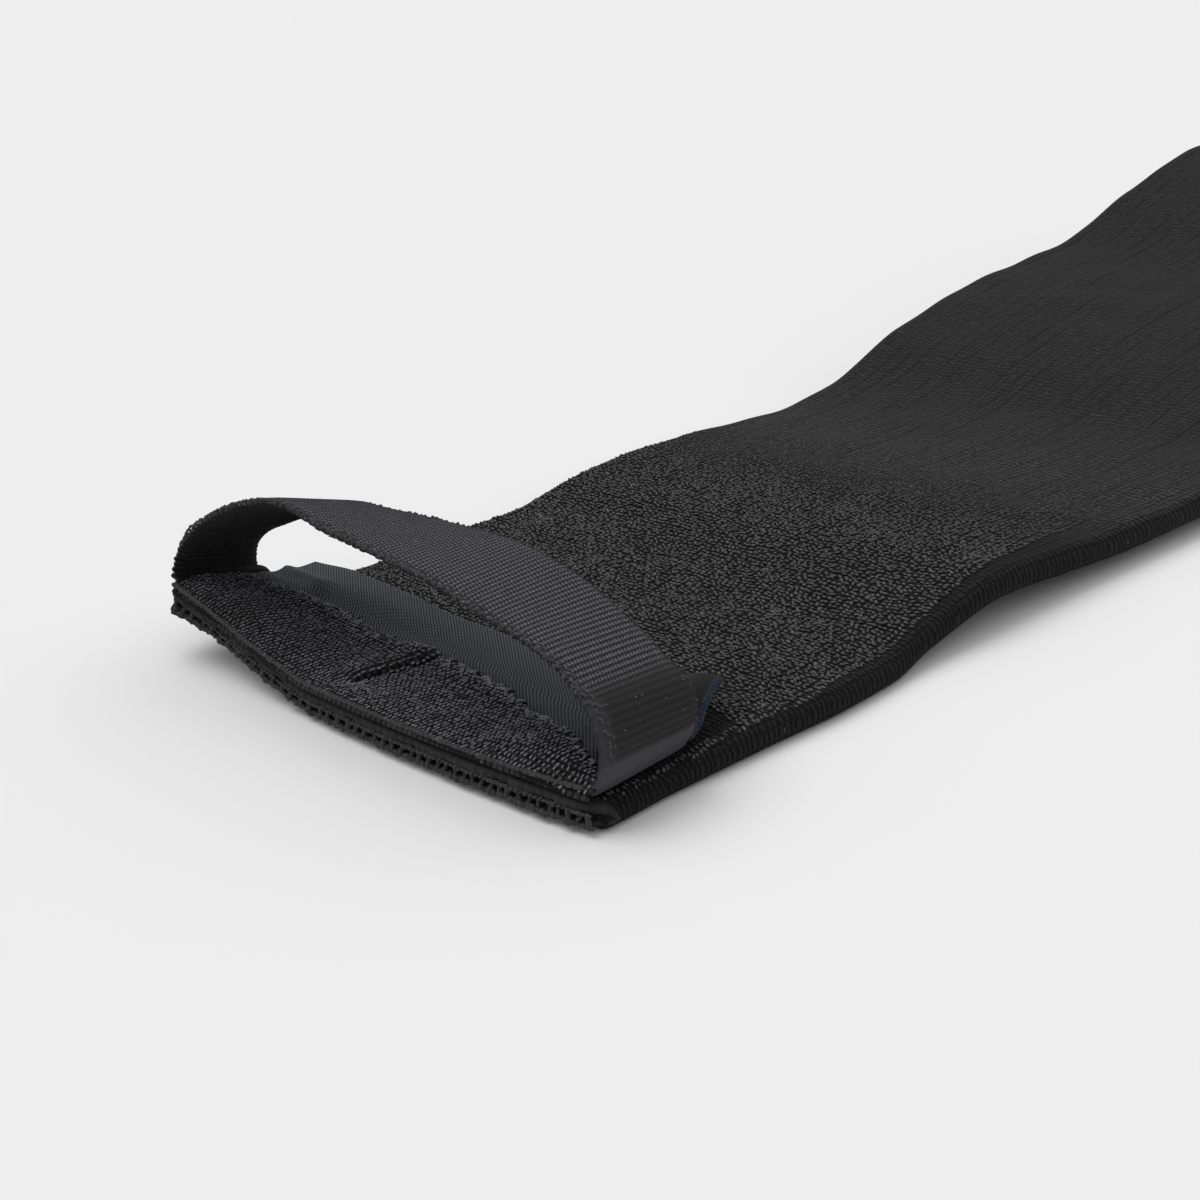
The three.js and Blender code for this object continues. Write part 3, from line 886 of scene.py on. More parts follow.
def makeKnitLoops(k, name, first, last, seed):
    rng = np.random.default_rng(seed)
    radius, pitch, length = band["thickness"] / 2, k["rowPitch"], k["loopLength"]
    rows = np.arange(first, last, pitch)
    limit = band["width"] / 2 * 1.06 + (k["rimTurn"] - 1) * radius
    along, run = np.meshgrid(rows, np.arange(-limit, limit, length), indexing="ij")
    run = run + k["rowShift"] * length * (rows / pitch)[:, None]
    slow, quick = k["wander"]
    along = along + ripple(along, run, 41, 14) * slow + ripple(along, run, 43, 3.2) * quick
    run = run + ripple(along, run, 42, 4.0) * quick
    along = along + rng.normal(0, k["jitter"] * pitch, along.shape)
    run = run + rng.normal(0, k["jitter"] * length, run.shape)
    turn = (np.abs(run) - reachOn(along, run) + radius) / radius
    share = np.clip(run / band["width"] + 0.5, 0, 1)
    labelLine = (readRows(hem["edgeAcross"], hem["labelEdge"], share) * hem["labelReach"]
                 - k["labelGap"])
    onRim = (turn > -0.3) & (along > hemEnd(run) + 1.2)
    keep = (turn < k["rimTurn"]) & ((along > labelLine) | onRim)
    along, run, turn = along[keep], run[keep], turn[keep]
    point, alongWay, acrossWay, outward = skinFrame(bandSkin, along, run, 0.12, 0.12)
    fade = 1 - smooth(along, k["fadeFrom"], k["starts"][-1])
    slant = rng.normal(*k["slant"], len(along)) + ripple(along, run, 47, 6) * 0.2
    calm = smooth(turn, -0.2, 0.7)
    point = point - outward * ((calm + (1 - fade) ** 2) * k["sink"])[:, None]
    wide, thick, high = (rng.uniform(*span, len(along))
                         for span in ((0.8, 1.2), (0.8, 1.25), (0.7, 1.3)))
    high = mix(0.3, 1.0, fade) * high * mix(1, 0.25, calm)
    h, r = k["halfLength"], k["radius"]
    bead = threadStitch([(-h, -0.10, -0.7 * r), (-0.3 * h, 0.06, 0.5 * r),
                         (0.35 * h, -0.05, 0.5 * r), (h, 0.10, -0.7 * r)], r, 4)
    return sew(name, point, acrossWay + alongWay * slant[:, None], outward, bead, loopFinish,
               0.08, 0.14, seed, np.stack([wide, thick, high], -1))


loopsPieces = [
    makeKnitLoops(knitLoops, "band_knit_loops_" + part, *knitLoops["starts"][i:i + 2], 17 + i)
    for i, part in enumerate(("near", "middle", "far"))]
print("band made:", len(bandPiece.data.polygons), "faces")

# Hem: upper layer, roll and overlock

loop = {
    "webWidth": 12.0,
    "webThickness": 1.2,
    "webLoss": 0.08,  # of half the thickness, where the ribs stand up
    "inset": 3.0,
    "rise": 19.6,
    "halfSpan": 40.9,
    "tail": 7.0,
    "nearFeet": (0.940, -0.955),
    "farFeet": (0.985, -0.925),
    # near side, near height, far side, far height, far along
    "arch": [
        (0.938, 0.32, 1.000, 0.14, 0.93), (0.930, 0.40, 1.000, 0.21, 0.93),
        (0.895, 0.52, 0.970, 0.33, 0.93), (0.810, 0.66, 0.890, 0.45, 0.94),
        (0.695, 0.78, 0.770, 0.55, 0.95), (0.500, 0.93, 0.570, 0.69, 0.97),
        (0.320, 1.01, 0.350, 0.79, 1.00), (0.215, 1.00, 0.240, 0.80, 1.00),
        (0.090, 0.95, 0.100, 0.82, 1.00), (-0.125, 0.91, -0.120, 0.84, 1.00),
        (-0.390, 0.85, -0.370, 0.84, 1.00), (-0.605, 0.76, -0.590, 0.75, 1.00),
        (-0.810, 0.66, -0.770, 0.59, 1.00), (-0.915, 0.54, -0.870, 0.47, 1.00),
        (-0.975, 0.45, -0.945, 0.38, 1.00), (-1.000, 0.33, -0.960, 0.27, 1.00),
        (-0.995, 0.24, -0.950, 0.19, 1.00), (-0.980, 0.15, -0.935, 0.12, 1.00)],
    "ribPitch": 0.69,
    "ribHeight": 0.11,
    "toothDepth": 0.30,
    "footShift": 1.0,
}
loopPast = loop["inset"] + loop["webWidth"]  # where the webbing's far edge lies


def footSide(leftSide):
    share = loop["nearFeet"][0] if leftSide else loop["farFeet"][1]
    inward = loop["webThickness"] / 2 + gap + 0.4
    return share * loop["halfSpan"] + (-inward if leftSide else inward)


def pastTail(side):
    return np.abs(side) - np.where(side > 0, footSide(True), -footSide(False)) + loop["tail"]


def layerBottom(along, side):
    over = (smooth(pastTail(side), -3, -0.8) * (1 - smooth(along, loopPast + 0.5, loopPast + 3))
            * smooth(along, loop["inset"] - 2.4, loop["inset"] - 0.5))
    return bandTop(along, side) + gap + over * (loop["webThickness"] + gap)


# the flap rises over the tails more gently than they stand up
def flapBottom(along, side):
    lift = smooth(pastTail(side), -11.0, -0.5) * smooth(along, 0.2, 3.4)
    return bandTop(along, side) + gap * (1 - 0.8 * lift) + lift * loop["webThickness"]


def foldStart(side):
    return hemEnd(side) - readRows(hem["foldSide"], hem["foldOut"], side)


def flapEdge(across):
    return readRows(hem["edgeAcross"], hem["flapEdge"], across) * band["hemLength"]


def fromCrease(along, side):
    return side - readRows(hem["creaseAlong"], hem["creaseSide"], along)


def bell(value, middle, width):
    return np.exp(-((value - middle) / width) ** 2)


flapRight = footSide(False) - hem["flapRightEnd"]
flapWidth = footSide(True) - flapRight


def flapEnds(across):
    side = mix(flapRight, footSide(True), across)
    ragged = ripple(0, side, 5, 2.2) * 0.28 + ripple(0, side, 8, 0.9) * 0.12
    return side, foldStart(side), flapEdge(across) + ragged


# upper and lower points of the flap; u runs from the fold to the inner edge
def flapSurface(u, across):
    radius = hem["flapThickness"] / 2
    side, start, end = flapEnds(across)
    along = mix(start, end, u)
    tip = 1 - smooth(across, 0, 0.11)
    thin = 1 - 0.55 * tip - 0.5 * smooth(across, 0.76, 0.96)  # beside the loop's feet
    share = (roundedEdge(inwards(u, end - start), radius)
             * roundedEdge(inwards(across, flapWidth), radius))
    side = side - hem["tipReach"] * tip * (1 - smooth(along, 2.0, 3.6))
    away = fromCrease(along, side)
    opened = smooth(along, 1.2, 5.0)  # the fold opens from the outer edge inwards
    lift = smooth(away, -0.5, 0.7) * np.exp(-np.maximum(0, away) / hem["creaseReach"])
    lift = (hem["creaseRise"] * lift - hem["creaseDepth"] * bell(away, -0.45, 0.5)
            + 0.2 * bell(away, 2.2, 1.6)) * opened
    lean = -hem["creaseLean"] * bell(away, 0.4, 0.7) * opened  # the bulge hangs over the crease
    half = radius * thin
    middle = (flapBottom(along, side) + hem["overLabel"] * smooth(along - end, -4.0, -1.0)
              + half)
    puff = 0.22 * np.sin(np.pi * u) * share + ripple(along, side, 11, 5) * 0.07 * share
    hollow = hem["edgeHollow"] * (1 - smooth(along - start, 0, 2.6)) * share  # above the roll
    top = stack(along, side + lean, middle + half * share + lift + puff)
    under = stack(along, side + lean * 0.6,
                  middle - half * share + np.maximum(lift, 0) * 0.9 + hollow)
    return top, under, along


def makeFlap():
    v = roundStations(230, 0.009, 5)[None]
    u = roundStations(34, 0.07, 5)[:, None]
    top, under, along = flapSurface(u, 1 - v)
    return closedSheet("hem_flap_knit", top, under, hemFinish, clothOf(along, top))


flapPiece = makeFlap()

flapLoops = {
    "rowPitch": 0.56,
    "loopLength": 0.66,
    "stagger": -0.22,
    "jitter": 0.07,
    "slant": (0.28, 0.20),
    "radius": 0.155,
    "halfLength": 0.31,
}


def flapSkin(u, across):
    return flapSurface(np.clip(u, 0.001, 0.999), np.clip(across, 0.001, 0.999))[0]


def makeFlapLoops(k):
    rng = np.random.default_rng(23)
    rows, columns = np.arange(-0.2, 13.6, k["rowPitch"]), np.arange(-39.5, 38.5, k["loopLength"])
    along, side = np.meshgrid(rows, columns, indexing="ij")
    side = side + (np.arange(len(rows))[:, None] * k["stagger"] % 1) * k["loopLength"]
    along = (along + hem["fan"] * bell(fromCrease(along, side), 0, 5.0)
             * smooth(along, 1.2, 5.0))
    along = along + ripple(along, side, 51, 12) * 0.12 + rng.normal(0, k["jitter"], along.shape)
    side = side + rng.normal(0, k["jitter"], side.shape)
    across = (side - flapRight) / flapWidth
    end = flapEnds(np.clip(across, 0, 1))[2]
    u = (along - foldStart(side)) / (end - foldStart(side))
    keep = (across > 0.004) & (across < 0.996) & (u > 0.03) & (u < 0.97)
    u, across = u[keep], across[keep]
    point, alongWay, acrossWay, outward = skinFrame(flapSkin, u, across, 0.02, 0.004)
    loose = 1 + 1.5 * smooth(u, 0.8, 0.97)  # the cut edge is ragged
    forward = alongWay - acrossWay * (rng.normal(*k["slant"], len(u)) * loose)[:, None]
    wide, thick, high = (rng.uniform(*span, len(u))
                         for span in ((0.85, 1.15), (0.85, 1.1), (0.9, 1.2)))
    h, r = k["halfLength"], k["radius"]
    bead = threadStitch([(-h, 0, -0.7 * r), (-0.35 * h, 0, 0.35 * r), (0.35 * h, 0, 0.35 * r),
                         (h, 0, -0.7 * r)], r, 5)
    return sew("hem_flap_loops", point, forward, outward, bead, hemLoopFinish, 0.06, 0.08, 18,
               np.stack([wide, thick, high * loose ** 0.4], -1))


cutLoops = {"pitch": 0.0085, "place": 0.93, "turn": 1.2, "radius": 0.2}  # shares of the flap


# loose loops along the flap's inner edge, lying over the label
def makeCutEdge(k):
    rng = np.random.default_rng(29)
    across = np.arange(0.03, 0.985, k["pitch"])
    count = len(across)
    across = across + rng.normal(0, 0.0015, count)
    u = k["place"] + rng.normal(0, 0.03, count)
    turn = rng.uniform(-k["turn"], k["turn"], count)
    forward = np.stack([np.cos(turn), np.sin(turn), rng.uniform(-0.5, 0.1, count)], -1)
    tuft = threadStitch([(-0.35, 0, -0.1), (0.0, 0, 0.14), (0.4, 0, 0.1), (0.75, 0, -0.16)],
                        k["radius"], 5)
    return sew("hem_flap_cut_loops", flapSurface(np.clip(u, 0, 0.985), across)[0], forward,
               (0, 0, 1), tuft, hemLoopFinish, 0.25, 0.3, 19)


flapLoopPieces = [makeFlapLoops(flapLoops), makeCutEdge(cutLoops)]

roll = {
    # outward from the band's end, height above the underside, and how dark the channel is painted:
    # painted shade in the channel's hollow
    "outward": [-1.6, 0.1, 0.9, 1.45, 1.65, 1.45, 0.9, 0.30, 0.10, 0.10, 0.35, 0.60, 0.75, 0.75,
                0.55, 0.15, -0.5, -1.6],
    "height": [0.25, 0.05, 0.06, 0.28, 0.55, 0.82, 0.98, 1.10, 1.45, 1.90, 2.10, 2.22, 2.48,
               2.78, 3.05, 3.24, 3.22, 2.8],
    "deep": [0, 0, 0, 0, 0, 0, 0.4, 1, 1, 1, 0.7, 0.1, 0, 0, 0, 0.3, 0.8, 1],
    "core": 1.6,  # the profile's middle, inwards and upwards
    "sideEnd": 40.2,
    # how far the roll is tucked in and raised, from the right side to the left
    "tuckSide": [-41, -33, -18, 0, 22, 30, 36, 41],
    "tuck": [0.95, 1.0, 1.05, 1.1, 1.3, 1.1, 0.3, 0.6],
    "raise": [0.6, 0.6, 0.6, 0.65, 0.7, 0.7, 0.6, 0.5],
}
overlock = {
    "pitch": 1.35,
    "postPitches": (1.05, 1.5),  # times the pitch, at the right and at the left
    "margin": 1.2,
    "cornerGap": 1.4,
    "postPlace": (0.72, 1.50),
    "postRadius": 0.26,
    "lipPlace": (1.42, 0.50),
    "lipRadius": 0.28,
    "linePlace": (0.66, 2.16),
    "lineRadius": 0.2,
}


# the directions along the hem's end and out of it
def hemWays(side):
    slope = (hemEnd(side + 0.05) - hemEnd(side - 0.05)) / 0.1
    level = np.zeros_like(side)
    tangent = unit(np.stack([slope, level + 1, level], -1))
    return tangent, np.stack([-tangent[..., 1], tangent[..., 0], level], -1)


def hemPoint(side, out, height):
    height = height + np.zeros_like(side)
    tuck, lift = (readRows(roll["tuckSide"], roll[k], side) for k in ("tuck", "raise"))
    tuck = tuck * mix(1, 0.25, smooth(height, 0.9, 1.9))
    height = height + lift * (1 - smooth(height, 0, 1.9))
    along = hemEnd(side)
    return (stack(along, side, underside(along, side) + height)
            + hemWays(side)[1] * (out - tuck)[..., None])


def makeRoll():
    side = np.linspace(-roll["sideEnd"], roll["sideEnd"], 420)[:, None]
    steps = np.arange(len(roll["outward"]))
    fine = np.linspace(0, steps[-1], 44)
    out, up, deep = (np.interp(fine, steps, roll[k]) for k in ("outward", "height", "deep"))
    past = (roll["sideEnd"] + 0.4 - np.abs(side)) / np.where(side > 0, 3.6, 2.2)
    taper = np.minimum(1, np.sqrt(np.maximum(0.02, past)))
    full = 1 + 0.10 * ripple(0, side, 21, 7) + 0.12 * smooth(side, 30, 39)
    nib = (0.07 * np.sin(side * fullTurn / overlock["pitch"])
           + 0.10 * ripple(0, side, 22, 2.3))
    out = (out + roll["core"]) * taper * full - roll["core"] + nib
    up = roll["core"] + (up - roll["core"]) * (0.75 + 0.25 * taper)
    grid = hemPoint(side + 0 * out, out, up)
    index = np.arange(out.size).reshape(out.shape)
    after = np.roll(index, -1, 1)
    faces = np.stack([index[:-1], after[:-1], after[1:], index[1:]], -1).reshape(-1, 4).tolist()
    faces += [index[0, ::-1].tolist(), index[-1].tolist()]
    # the deep mask carries the painted shade of the roll's channel
    return makeObject("hem_roll", grid, faces, rollFinish,
                      masks={"deep": np.tile(deep, len(side))})


rollPiece = makeRoll()


# places are out from the band's end and up from the underside
def makeOverlock(k):
    pitch, reach = k["pitch"], roll["sideEnd"] - k["margin"]
    last = reach - k["cornerGap"]
    side = [-reach]
    while side[-1] < last - pitch:
        side.append(side[-1] + pitch * mix(*k["postPitches"], smooth(side[-1], -25, 15)))
    side = np.array(side)
    # posts of the ladder, across the dark channel
    outward = hemWays(side)[1]
    side = side + np.random.default_rng(33).normal(0, 0.13, len(side))
    post = threadStitch([(0.3, 0, -0.8), (0.32, 0.05, -0.4), (0.2, 0.10, 0), (0.06, 0.05, 0.4),
                         (-0.05, 0, 0.78)], k["postRadius"], 7)
    even = np.ones_like(side)
    stretch = np.stack([even, mix(1.0, 1.35, smooth(side, -25, 15)), even], -1)
    posts = sew("overlock_posts", hemPoint(side, *k["postPlace"]), outward, (0, 0, 1), post,
                threadFinish, 0.25, 0.38, 4, stretch)
    # lower lip: slanted beads
    side = np.arange(-reach, last, pitch / 2)
    tangent, outward = hemWays(side)
    bead = threadStitch([(-0.46, 0, -0.1), (-0.2, 0, 0.08), (0.05, 0, 0.14), (0.28, 0, 0.06),
                         (0.5, 0, -0.12)], k["lipRadius"], 7)
    out = k["lipPlace"][0] + ripple(0, side, 35, 3.0) * 0.16
    up = k["lipPlace"][1] + ripple(0, side, 36, 2.4) * 0.12
    lower = sew("overlock_lower_beads", hemPoint(side, out, up), tangent + (0, 0, 0.35), outward,
                bead, threadFinish, 0.3, 0.35, 7)
    # thread line under the flap's fold
    bead = threadStitch([(-0.5, 0, -0.05), (-0.2, 0, 0.06), (0.1, 0, 0.08), (0.5, 0, -0.06)],
                        k["lineRadius"], 7)
    upper = sew("overlock_upper_beads", hemPoint(side, *k["linePlace"]),
                tangent - (0, 0, 0.3), outward, bead, threadFinish, 0.25, 0.35, 9)
    return [posts, lower, upper]


overlockPieces = makeOverlock(overlock)

ridge = {"pitch": 0.62, "radius": 0.25, "inwards": 0.37, "height": 0.92}  # height is a share


# the light line of stitches along the flap's outer fold
def makeRidge(k):
    side = np.arange(footSide(False) - 1.3, footSide(True) - 0.3, k["pitch"])
    tangent, outward = hemWays(side)
    along = foldStart(side) + k["inwards"]
    places = stack(along, side, flapBottom(along, side) + hem["flapThickness"] * k["height"])
    bead = threadStitch([(-0.44, 0, -0.1), (-0.15, 0, 0.05), (0.15, 0, 0.05), (0.44, 0, -0.1)],
                        k["radius"], 7)
    return sew("flap_ridge_stitches", places, tangent + outward * 0.35, outward + (0, 0, 0.9),
               bead, ridgeFinish, 0.2, 0.25, 12)


ridgePiece = makeRidge(ridge)
print("hem made")

# Label

label = {
    "thickness": 0.9,
    "start": 1.0,  # under the flap's inner edge
    "slant": 0.36,
    "rightReach": 1.8,
    "rightRise": 3.3,
    "leftRise": 1.4,
    "droop": 1.3,
}


def labelSide(leftSide, along):
    if leftSide:
        share = smooth(along, loopPast + gap, loopPast + 2)
        return mix(footSide(True), edgeReach(along, True), share)
    slant = label["slant"] * np.maximum(0, along - loopPast) + label["rightReach"]
    share = smooth(along, loopPast - 0.3, loopPast + 0.6)
    return mix(footSide(False), slant - edgeReach(along, False), share)


def makeLabel():
    radius = label["thickness"] / 2
    across = 1 - roundStations(150, radius / band["width"], 5)[None]
    u = roundStations(40, 0.05, 5)[:, None]
    start = flapEdge(across) - label["start"]
    end = readRows(hem["edgeAcross"], hem["labelEdge"], across) * hem["labelReach"]
    along = mix(start, end, u)
    side = mix(labelSide(False, along), labelSide(True, along), across)
    share = (roundedEdge(inwards(u, end - start), radius)
             * roundedEdge(inwards(across, band["width"]), radius))
    # both ends are raised where the label passes the loop's tails
    right = label["rightRise"] * (1 - smooth(across, 0, 0.16)) * smooth(along, loopPast - 1, end)
    left = (label["leftRise"] * smooth(across, 0.50, 0.80) * (1 - 0.10 * smooth(across, 0.88, 1))
            * smooth(along, loopPast - 1, loopPast + 3))
    droop = label["droop"] * (1 - smooth(across, 0, 0.035)) * (1 - smooth(along, 15.5, 19))
    out = smooth(along - start, 0.4, 3.0)  # from under the flap
    half = radius * share * mix(0.4, 1.0, out)
    middle = (layerBottom(along, side) + right + left - droop + radius - 0.2 * (1 - out)
              + ripple(along, side, 15, 9) * 0.13 * share)
    top, under = stack(along, side, middle + half), stack(along, side, middle - half)
    place = across + 0 * along
    masks = {"endEdge": smooth(place, 0.012, 0.005) * smooth(along, 11, 13.5),
             "shade": smooth(place, 0.13, 0.05) * smooth(along, 13, 15)}
    return closedSheet("label_satin", top, under, labelFinish, clothOf(along, top), masks)


labelPiece = makeLabel()
print("label made")

# Thumb loop of webbing


def tailHeight(along, side):
    return bandTop(along, side) + gap + loop["webThickness"] / 2


def loopEdgePoints(near):
    width = 0.0 if near else loop["webWidth"]
    thick, full = loop["webThickness"], loop["tail"]

    def tail(foot, back, up=0.0):
        inner = foot - math.copysign(back, foot)
        along = loop["inset"] + width
        return along, inner, float(tailHeight(along, inner)) + up

    left, right = (
        [tail(foot * loop["halfSpan"], *place)
         for place in ((full,), (full / 2,), (thick,), (0, thick))]
        for foot in loop["nearFeet" if near else "farFeet"])
    arch = []
    for nearSide, nearHeight, farSide, farHeight, farAlong in loop["arch"]:
        side, height = (nearSide, nearHeight) if near else (farSide, farHeight)
        arch.append((loop["inset"] + width * farAlong, side * loop["halfSpan"],
                     band["hemThickness"] + gap + height * loop["rise"]))
    return np.array([*left, *arch, *right[::-1]])


# centripetal curve through the points, u from 0 to 1, the same as the solid's
def throughPoints(points, u):
    ends = 2 * points[[0, -1]] - points[[1, -2]]
    line = np.concatenate([ends[:1], points, ends[1:]])
    at = np.clip(u, 0, 1) * (len(points) - 1)
    i = np.minimum(np.floor(at).astype(int), len(points) - 2)
    t = (at - i)[:, None]
    p0, p1, p2, p3 = (line[i + n] for n in range(4))
    d0, d1, d2 = (np.sum((b - a) ** 2, 1)[:, None] ** 0.25
                  for a, b in ((p0, p1), (p1, p2), (p2, p3)))
    m1 = ((p1 - p0) / d0 - (p2 - p0) / (d0 + d1) + (p2 - p1) / d1) * d1
    m2 = ((p2 - p1) / d1 - (p3 - p1) / (d1 + d2) + (p3 - p2) / d2) * d1
    return (p1 + m1 * t + (3 * (p2 - p1) - 2 * m1 - m2) * t ** 2
            + (2 * (p1 - p2) + m1 + m2) * t ** 3)


nearPoints, farPoints = loopEdgePoints(True), loopEdgePoints(False)
dense = np.linspace(0, 1, 4001)
middleLine = (throughPoints(nearPoints, dense) + throughPoints(farPoints, dense)) / 2
lineSteps = np.linalg.norm(np.diff(middleLine, axis=0), axis=1)
lineRun = np.concatenate([[0], np.cumsum(lineSteps)])
loopLong = lineRun[-1]


# places of the webbing's two edges at any distance along it
def edgesAt(stations):
    u = np.interp(stations, lineRun, dense)
    return throughPoints(nearPoints, u), throughPoints(farPoints, u)


def makeLoop():
    pitch, depth = loop["ribPitch"], loop["toothDepth"]
    stations = np.arange(0, loopLong, pitch / 8)
    near, far = edgesAt(stations)
    v = np.concatenate([[0, 0.012, 0.035], np.linspace(0.08, 0.92, 11), [0.965, 0.988, 1]])
    across = v[None, :, None]
    tangent = mix(np.gradient(near, axis=0)[:, None], np.gradient(far, axis=0)[:, None], across)
    rib, ribIndex = (stations / pitch) % 1, np.floor(stations / pitch).astype(int)
    rng = np.random.default_rng(6)
    count = ribIndex.max() + 2
    nearTooth, farTooth = (
        rng.uniform(0.3, 1.0, count) * (np.arange(count) % 2 * odd + even) * size
        for odd, even, size in ((0.7, 0.3, depth), (0.5, 0.4, depth * 0.6)))
    widthWay = unit(far - near)
    bulge = widthWay * np.sin(np.pi * rib)[:, None]
    near = near - bulge * nearTooth[ribIndex][:, None]
    far = far + bulge * farTooth[ribIndex][:, None]
    middle = mix(near[:, None], far[:, None], across)
    feet = loopLong - loop["tail"]
    footward = (smooth(stations, feet - 14, feet - 3) + 1
                - smooth(stations, loop["tail"], loop["tail"] + 9))
    middle[..., 0] -= loop["footShift"] * footward[:, None] * (1 - v)
    middle[..., 2] = np.maximum(middle[..., 2], tailHeight(middle[..., 0], middle[..., 1]))
    middle[..., 0] -= wrapLength / 2
    outward = unit(np.cross(widthWay[:, None], unit(tangent)))
    plain = smooth(stations, feet - 12.0, feet - 8.5)[:, None]
    relief = loop["ribHeight"] * (0.5 - 0.5 * np.cos(fullTurn * rib))[:, None]
    edge = np.sqrt(np.clip(1 - (np.abs(v - 0.5) / 0.5) ** 10, 0.1, 1))
    half = (loop["webThickness"] / 2 - loop["webLoss"] + relief * (1 - 0.75 * plain)) * edge
    top, under = middle + outward * half[..., None], middle - outward * half[..., None]
    level = np.zeros(half.shape)
    cloth = np.stack([stations[:, None] + level, v * loop["webWidth"] + level], -1)
    fold = smooth(stations, feet - 3.4, feet - 2.6)[:, None]
    turned = 0.6 * plain * (1 - smooth(v, 0.06, 0.13))
    masks = {"plain": plain + level, "fold": np.maximum(fold, turned), "inner": level}
    obj = closedSheet("loop_webbing_ribbed", top, under, webFinish, cloth, masks)
    # the inner mask marks the webbing's inside face, which the finish paints almost black as
    # painted shade
    inner = np.zeros(2 * half.size, np.float32)
    inner[:half.size] = 0.97
    obj.data.attributes["inner"].data.foreach_set("value", inner)
    return obj


loopPiece = makeLoop()

selvage = {
    "pitch": 0.98,
    "radius": 0.165,
    "from": 5.0,
    "to": 3.4,
    # on the near edge, shift along it in pitches, how far inwards, size
    "loop_selvage_knots": (True, 0.0, -0.05, 1.0),
    "loop_selvage_binding": (True, 0.5, 0.50, 0.9),
    "loop_far_selvage": (False, 0.25, 0.14, 0.55),
}


# knotted edge threads of the webbing, thicker on its near edge
def makeSelvage(s):
    rng = np.random.default_rng(61)
    first, last = loop["tail"] + s["from"], loopLong - loop["tail"] - s["to"]
    pieces = []
    for name in ("loop_selvage_knots", "loop_selvage_binding", "loop_far_selvage"):
        onNear, shift, inward, size = s[name]
        stations = np.arange(first + shift * s["pitch"], last, s["pitch"])
        stations = stations + rng.normal(0, 0.09, len(stations))
        near, far = edgesAt(stations)
        before, after = (edgesAt(stations + step)[0 if onNear else 1] for step in (-0.2, 0.2))
        across, tangent = unit(far - near), unit(after - before)
        outward = -np.cross(across, tangent)
        away = -across if onNear else across
        places = (near if onNear else far) - away * inward
        places = places + outward * loop["webThickness"] * 0.28 - (wrapLength / 2, 0, 0)
        knot = threadStitch([(-0.55, -0.12, -0.2), (-0.2, 0.08, 0.08), (0.16, -0.08, 0.12),
                             (0.55, 0.12, -0.2)], s["radius"])
        pieces.append(sew(name, places, tangent + across * 0.5, outward + away * 0.8, knot,
                          selvageFinish, 0.22, 0.4, 62, size=size))
    return pieces


selvagePieces = makeSelvage(selvage)
print("thumb loop made:", len(loopPiece.data.polygons), "faces")

# Hook tab

tab = {
    "width": 50.0,
    "thickness": 1.8,
    "overlap": 16.0,
    "drop": 12.0,
    "hookPitch": 1.25,
    "margin": 3.0,
    "hookRadius": 0.13,
    "seam": 2.0,  # from the tab's edges
    "bandSeam": 2.5,  # from the band's end
    "stitchPitch": 2.4,
    "stitchRadius": 0.2,
    "border": 0.18,  # how deep the seam presses the tape
}
tabStart = band["end"] - tab["overlap"]


def tabHeight(along):
    onBand = float(bandTop(band["end"], 0.0)) + gap
    return mix(onBand, 0.0, smooth(along, band["end"] + gap, band["end"] + gap + tab["drop"]))


def makeTab():
    radius, length = tab["thickness"] / 2, wrapLength - tabStart
    v = roundStations(60, radius / tab["width"], 6)[None]
    u = roundStations(70, radius / length, 6)[:, None]
    along = tabStart + u * length + 0 * v
    side = (0.5 - v) * tab["width"]
    toSide = inwards(v, tab["width"])
    half = radius * roundedEdge(inwards(u, length), radius) * roundedEdge(toSide, radius)
    middle = tabHeight(along) + radius
    top = stack(along, side, middle + half - tab["border"] * bell(toSide, tab["seam"], 0.5))
    under = stack(along, side, middle - half)
    return closedSheet("hook_tab_tape", top, under, tapeFinish, clothOf(along, top))


tabPiece = makeTab()


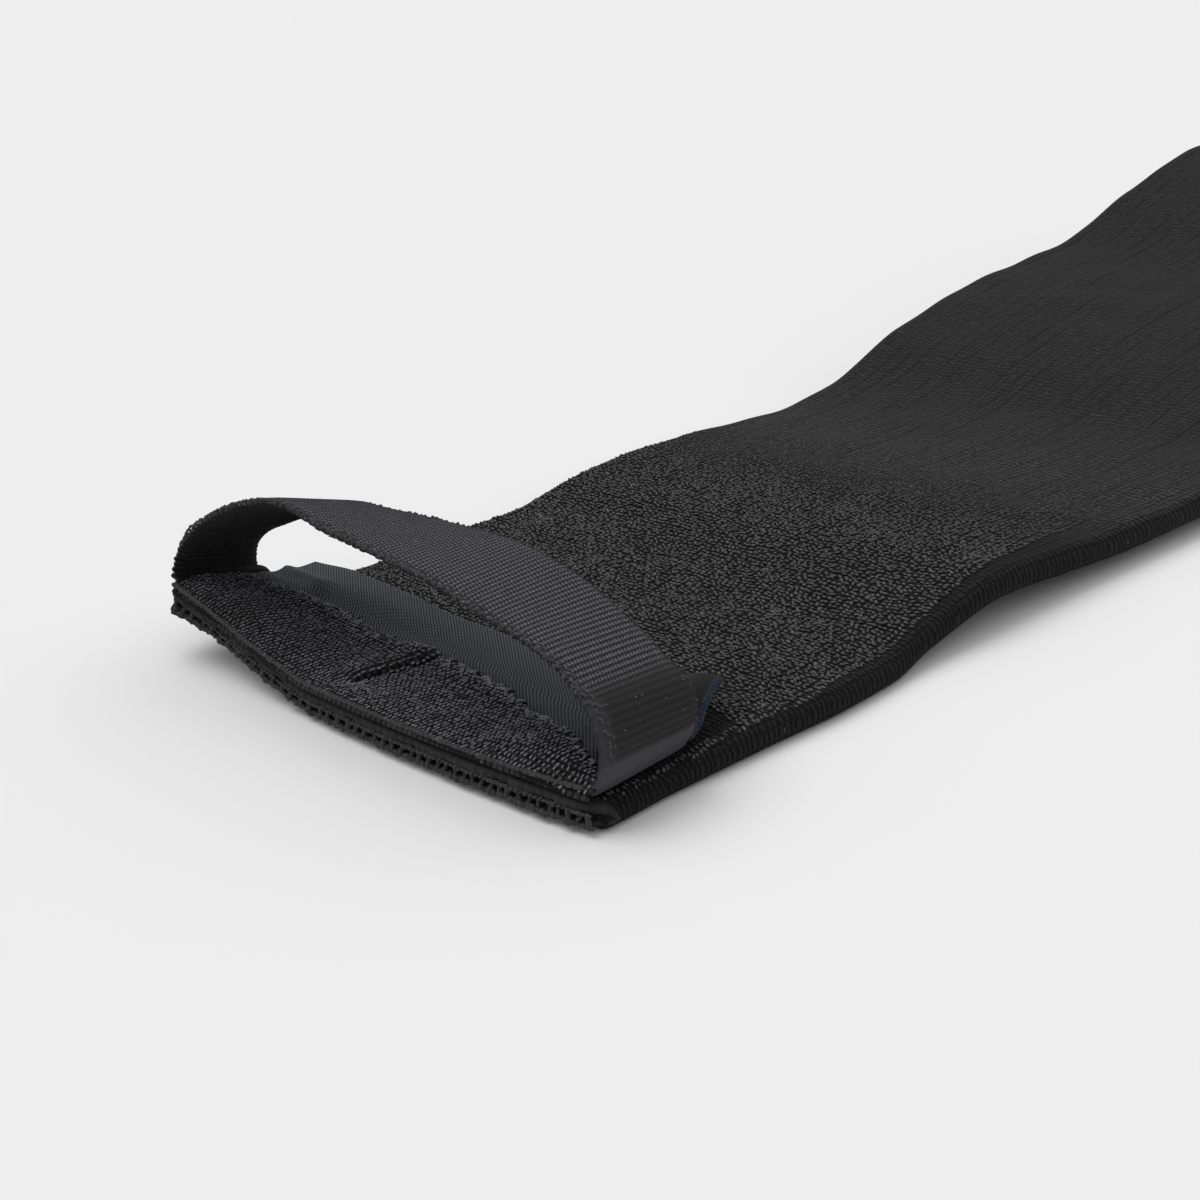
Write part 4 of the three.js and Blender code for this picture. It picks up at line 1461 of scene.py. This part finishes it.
def makeHooks():
    pitch, reach = tab["hookPitch"], tab["width"] / 2 - tab["margin"]
    rows = np.arange(band["end"] + tab["drop"] * 0.1, wrapLength - tab["margin"], pitch)
    along, side = np.meshgrid(rows, np.arange(-reach, reach, pitch), indexing="ij")
    side = side + (np.arange(len(rows))[:, None] % 2) * pitch / 2
    places = stack(along, side, tabHeight(along) + tab["thickness"] - 0.05)
    hook = threadStitch([(0, 0, 0), (0.02, 0, 0.5), (0.12, 0, 0.85), (0.4, 0, 0.9),
                         (0.55, 0, 0.62)], tab["hookRadius"], 5)
    return sew("hook_field", places, (1, 0, 0), (0, 0, 1), hook,
               makeThreadFinish("hookPlastic", 0.012, 0.045, 0.5), 0.05, 0.12, 30)


def makeTabStitches():
    reach, seam = tab["width"] / 2 - tab["seam"], tab["seam"]
    near, far, bandEdge = tabStart + seam, wrapLength - seam, band["end"] - tab["bandSeam"]
    corners = [(near, -reach), (near, reach), (far, reach), (far, -reach), (near, -reach)]
    places, ways = [], []
    for begin, end in (*zip(corners, corners[1:]), ((bandEdge, -reach), (bandEdge, reach))):
        begin, line = np.array(begin), np.subtract(end, begin)
        distance = np.linalg.norm(line)
        for t in np.arange(tab["stitchPitch"] / 2, distance, tab["stitchPitch"]) / distance:
            places.append(begin + line * t)
            ways.append(line / distance)
    (along, side), (alongWay, acrossWay) = np.transpose(places), np.transpose(ways)
    ahead = tabHeight(along + alongWay * 0.2) - tabHeight(along - alongWay * 0.2)
    stitch = threadStitch([(-0.95, 0, -0.18), (-0.6, 0, 0.03), (0, 0, 0.1), (0.6, 0, 0.03),
                           (0.95, 0, -0.18)], tab["stitchRadius"])
    return sew("hook_tab_stitches", stack(along, side, tabHeight(along) + tab["thickness"] + 0.04),
               np.stack([alongWay, acrossWay, ahead / 0.4], -1), (0, 0, 1), stitch, threadFinish,
               0.05, 0.04, 31)


hookPieces = [makeHooks(), makeTabStitches()]
print("hook tab made")

# What each piece stands for and rides on

for piece, node, slot in ((bandPiece, "wrap_band", "knit_band"),
                          (flapPiece, "hem_flap", "knit_hem"),
                          (labelPiece, "label", "label_satin"),
                          (loopPiece, "thumb_loop", "loop_webbing"),
                          (tabPiece, "hook_tab", "hook_tape")):
    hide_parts(node)
    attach(piece, "root")
for pieces, slot in ((loopsPieces, "knit_band"),
                     ([rollPiece, ridgePiece, *overlockPieces, *flapLoopPieces], "knit_hem"),
                     (selvagePieces, "loop_webbing"), (hookPieces, "hook_tape")):
    for piece in pieces:
        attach(piece, "root")

print("pieces placed")
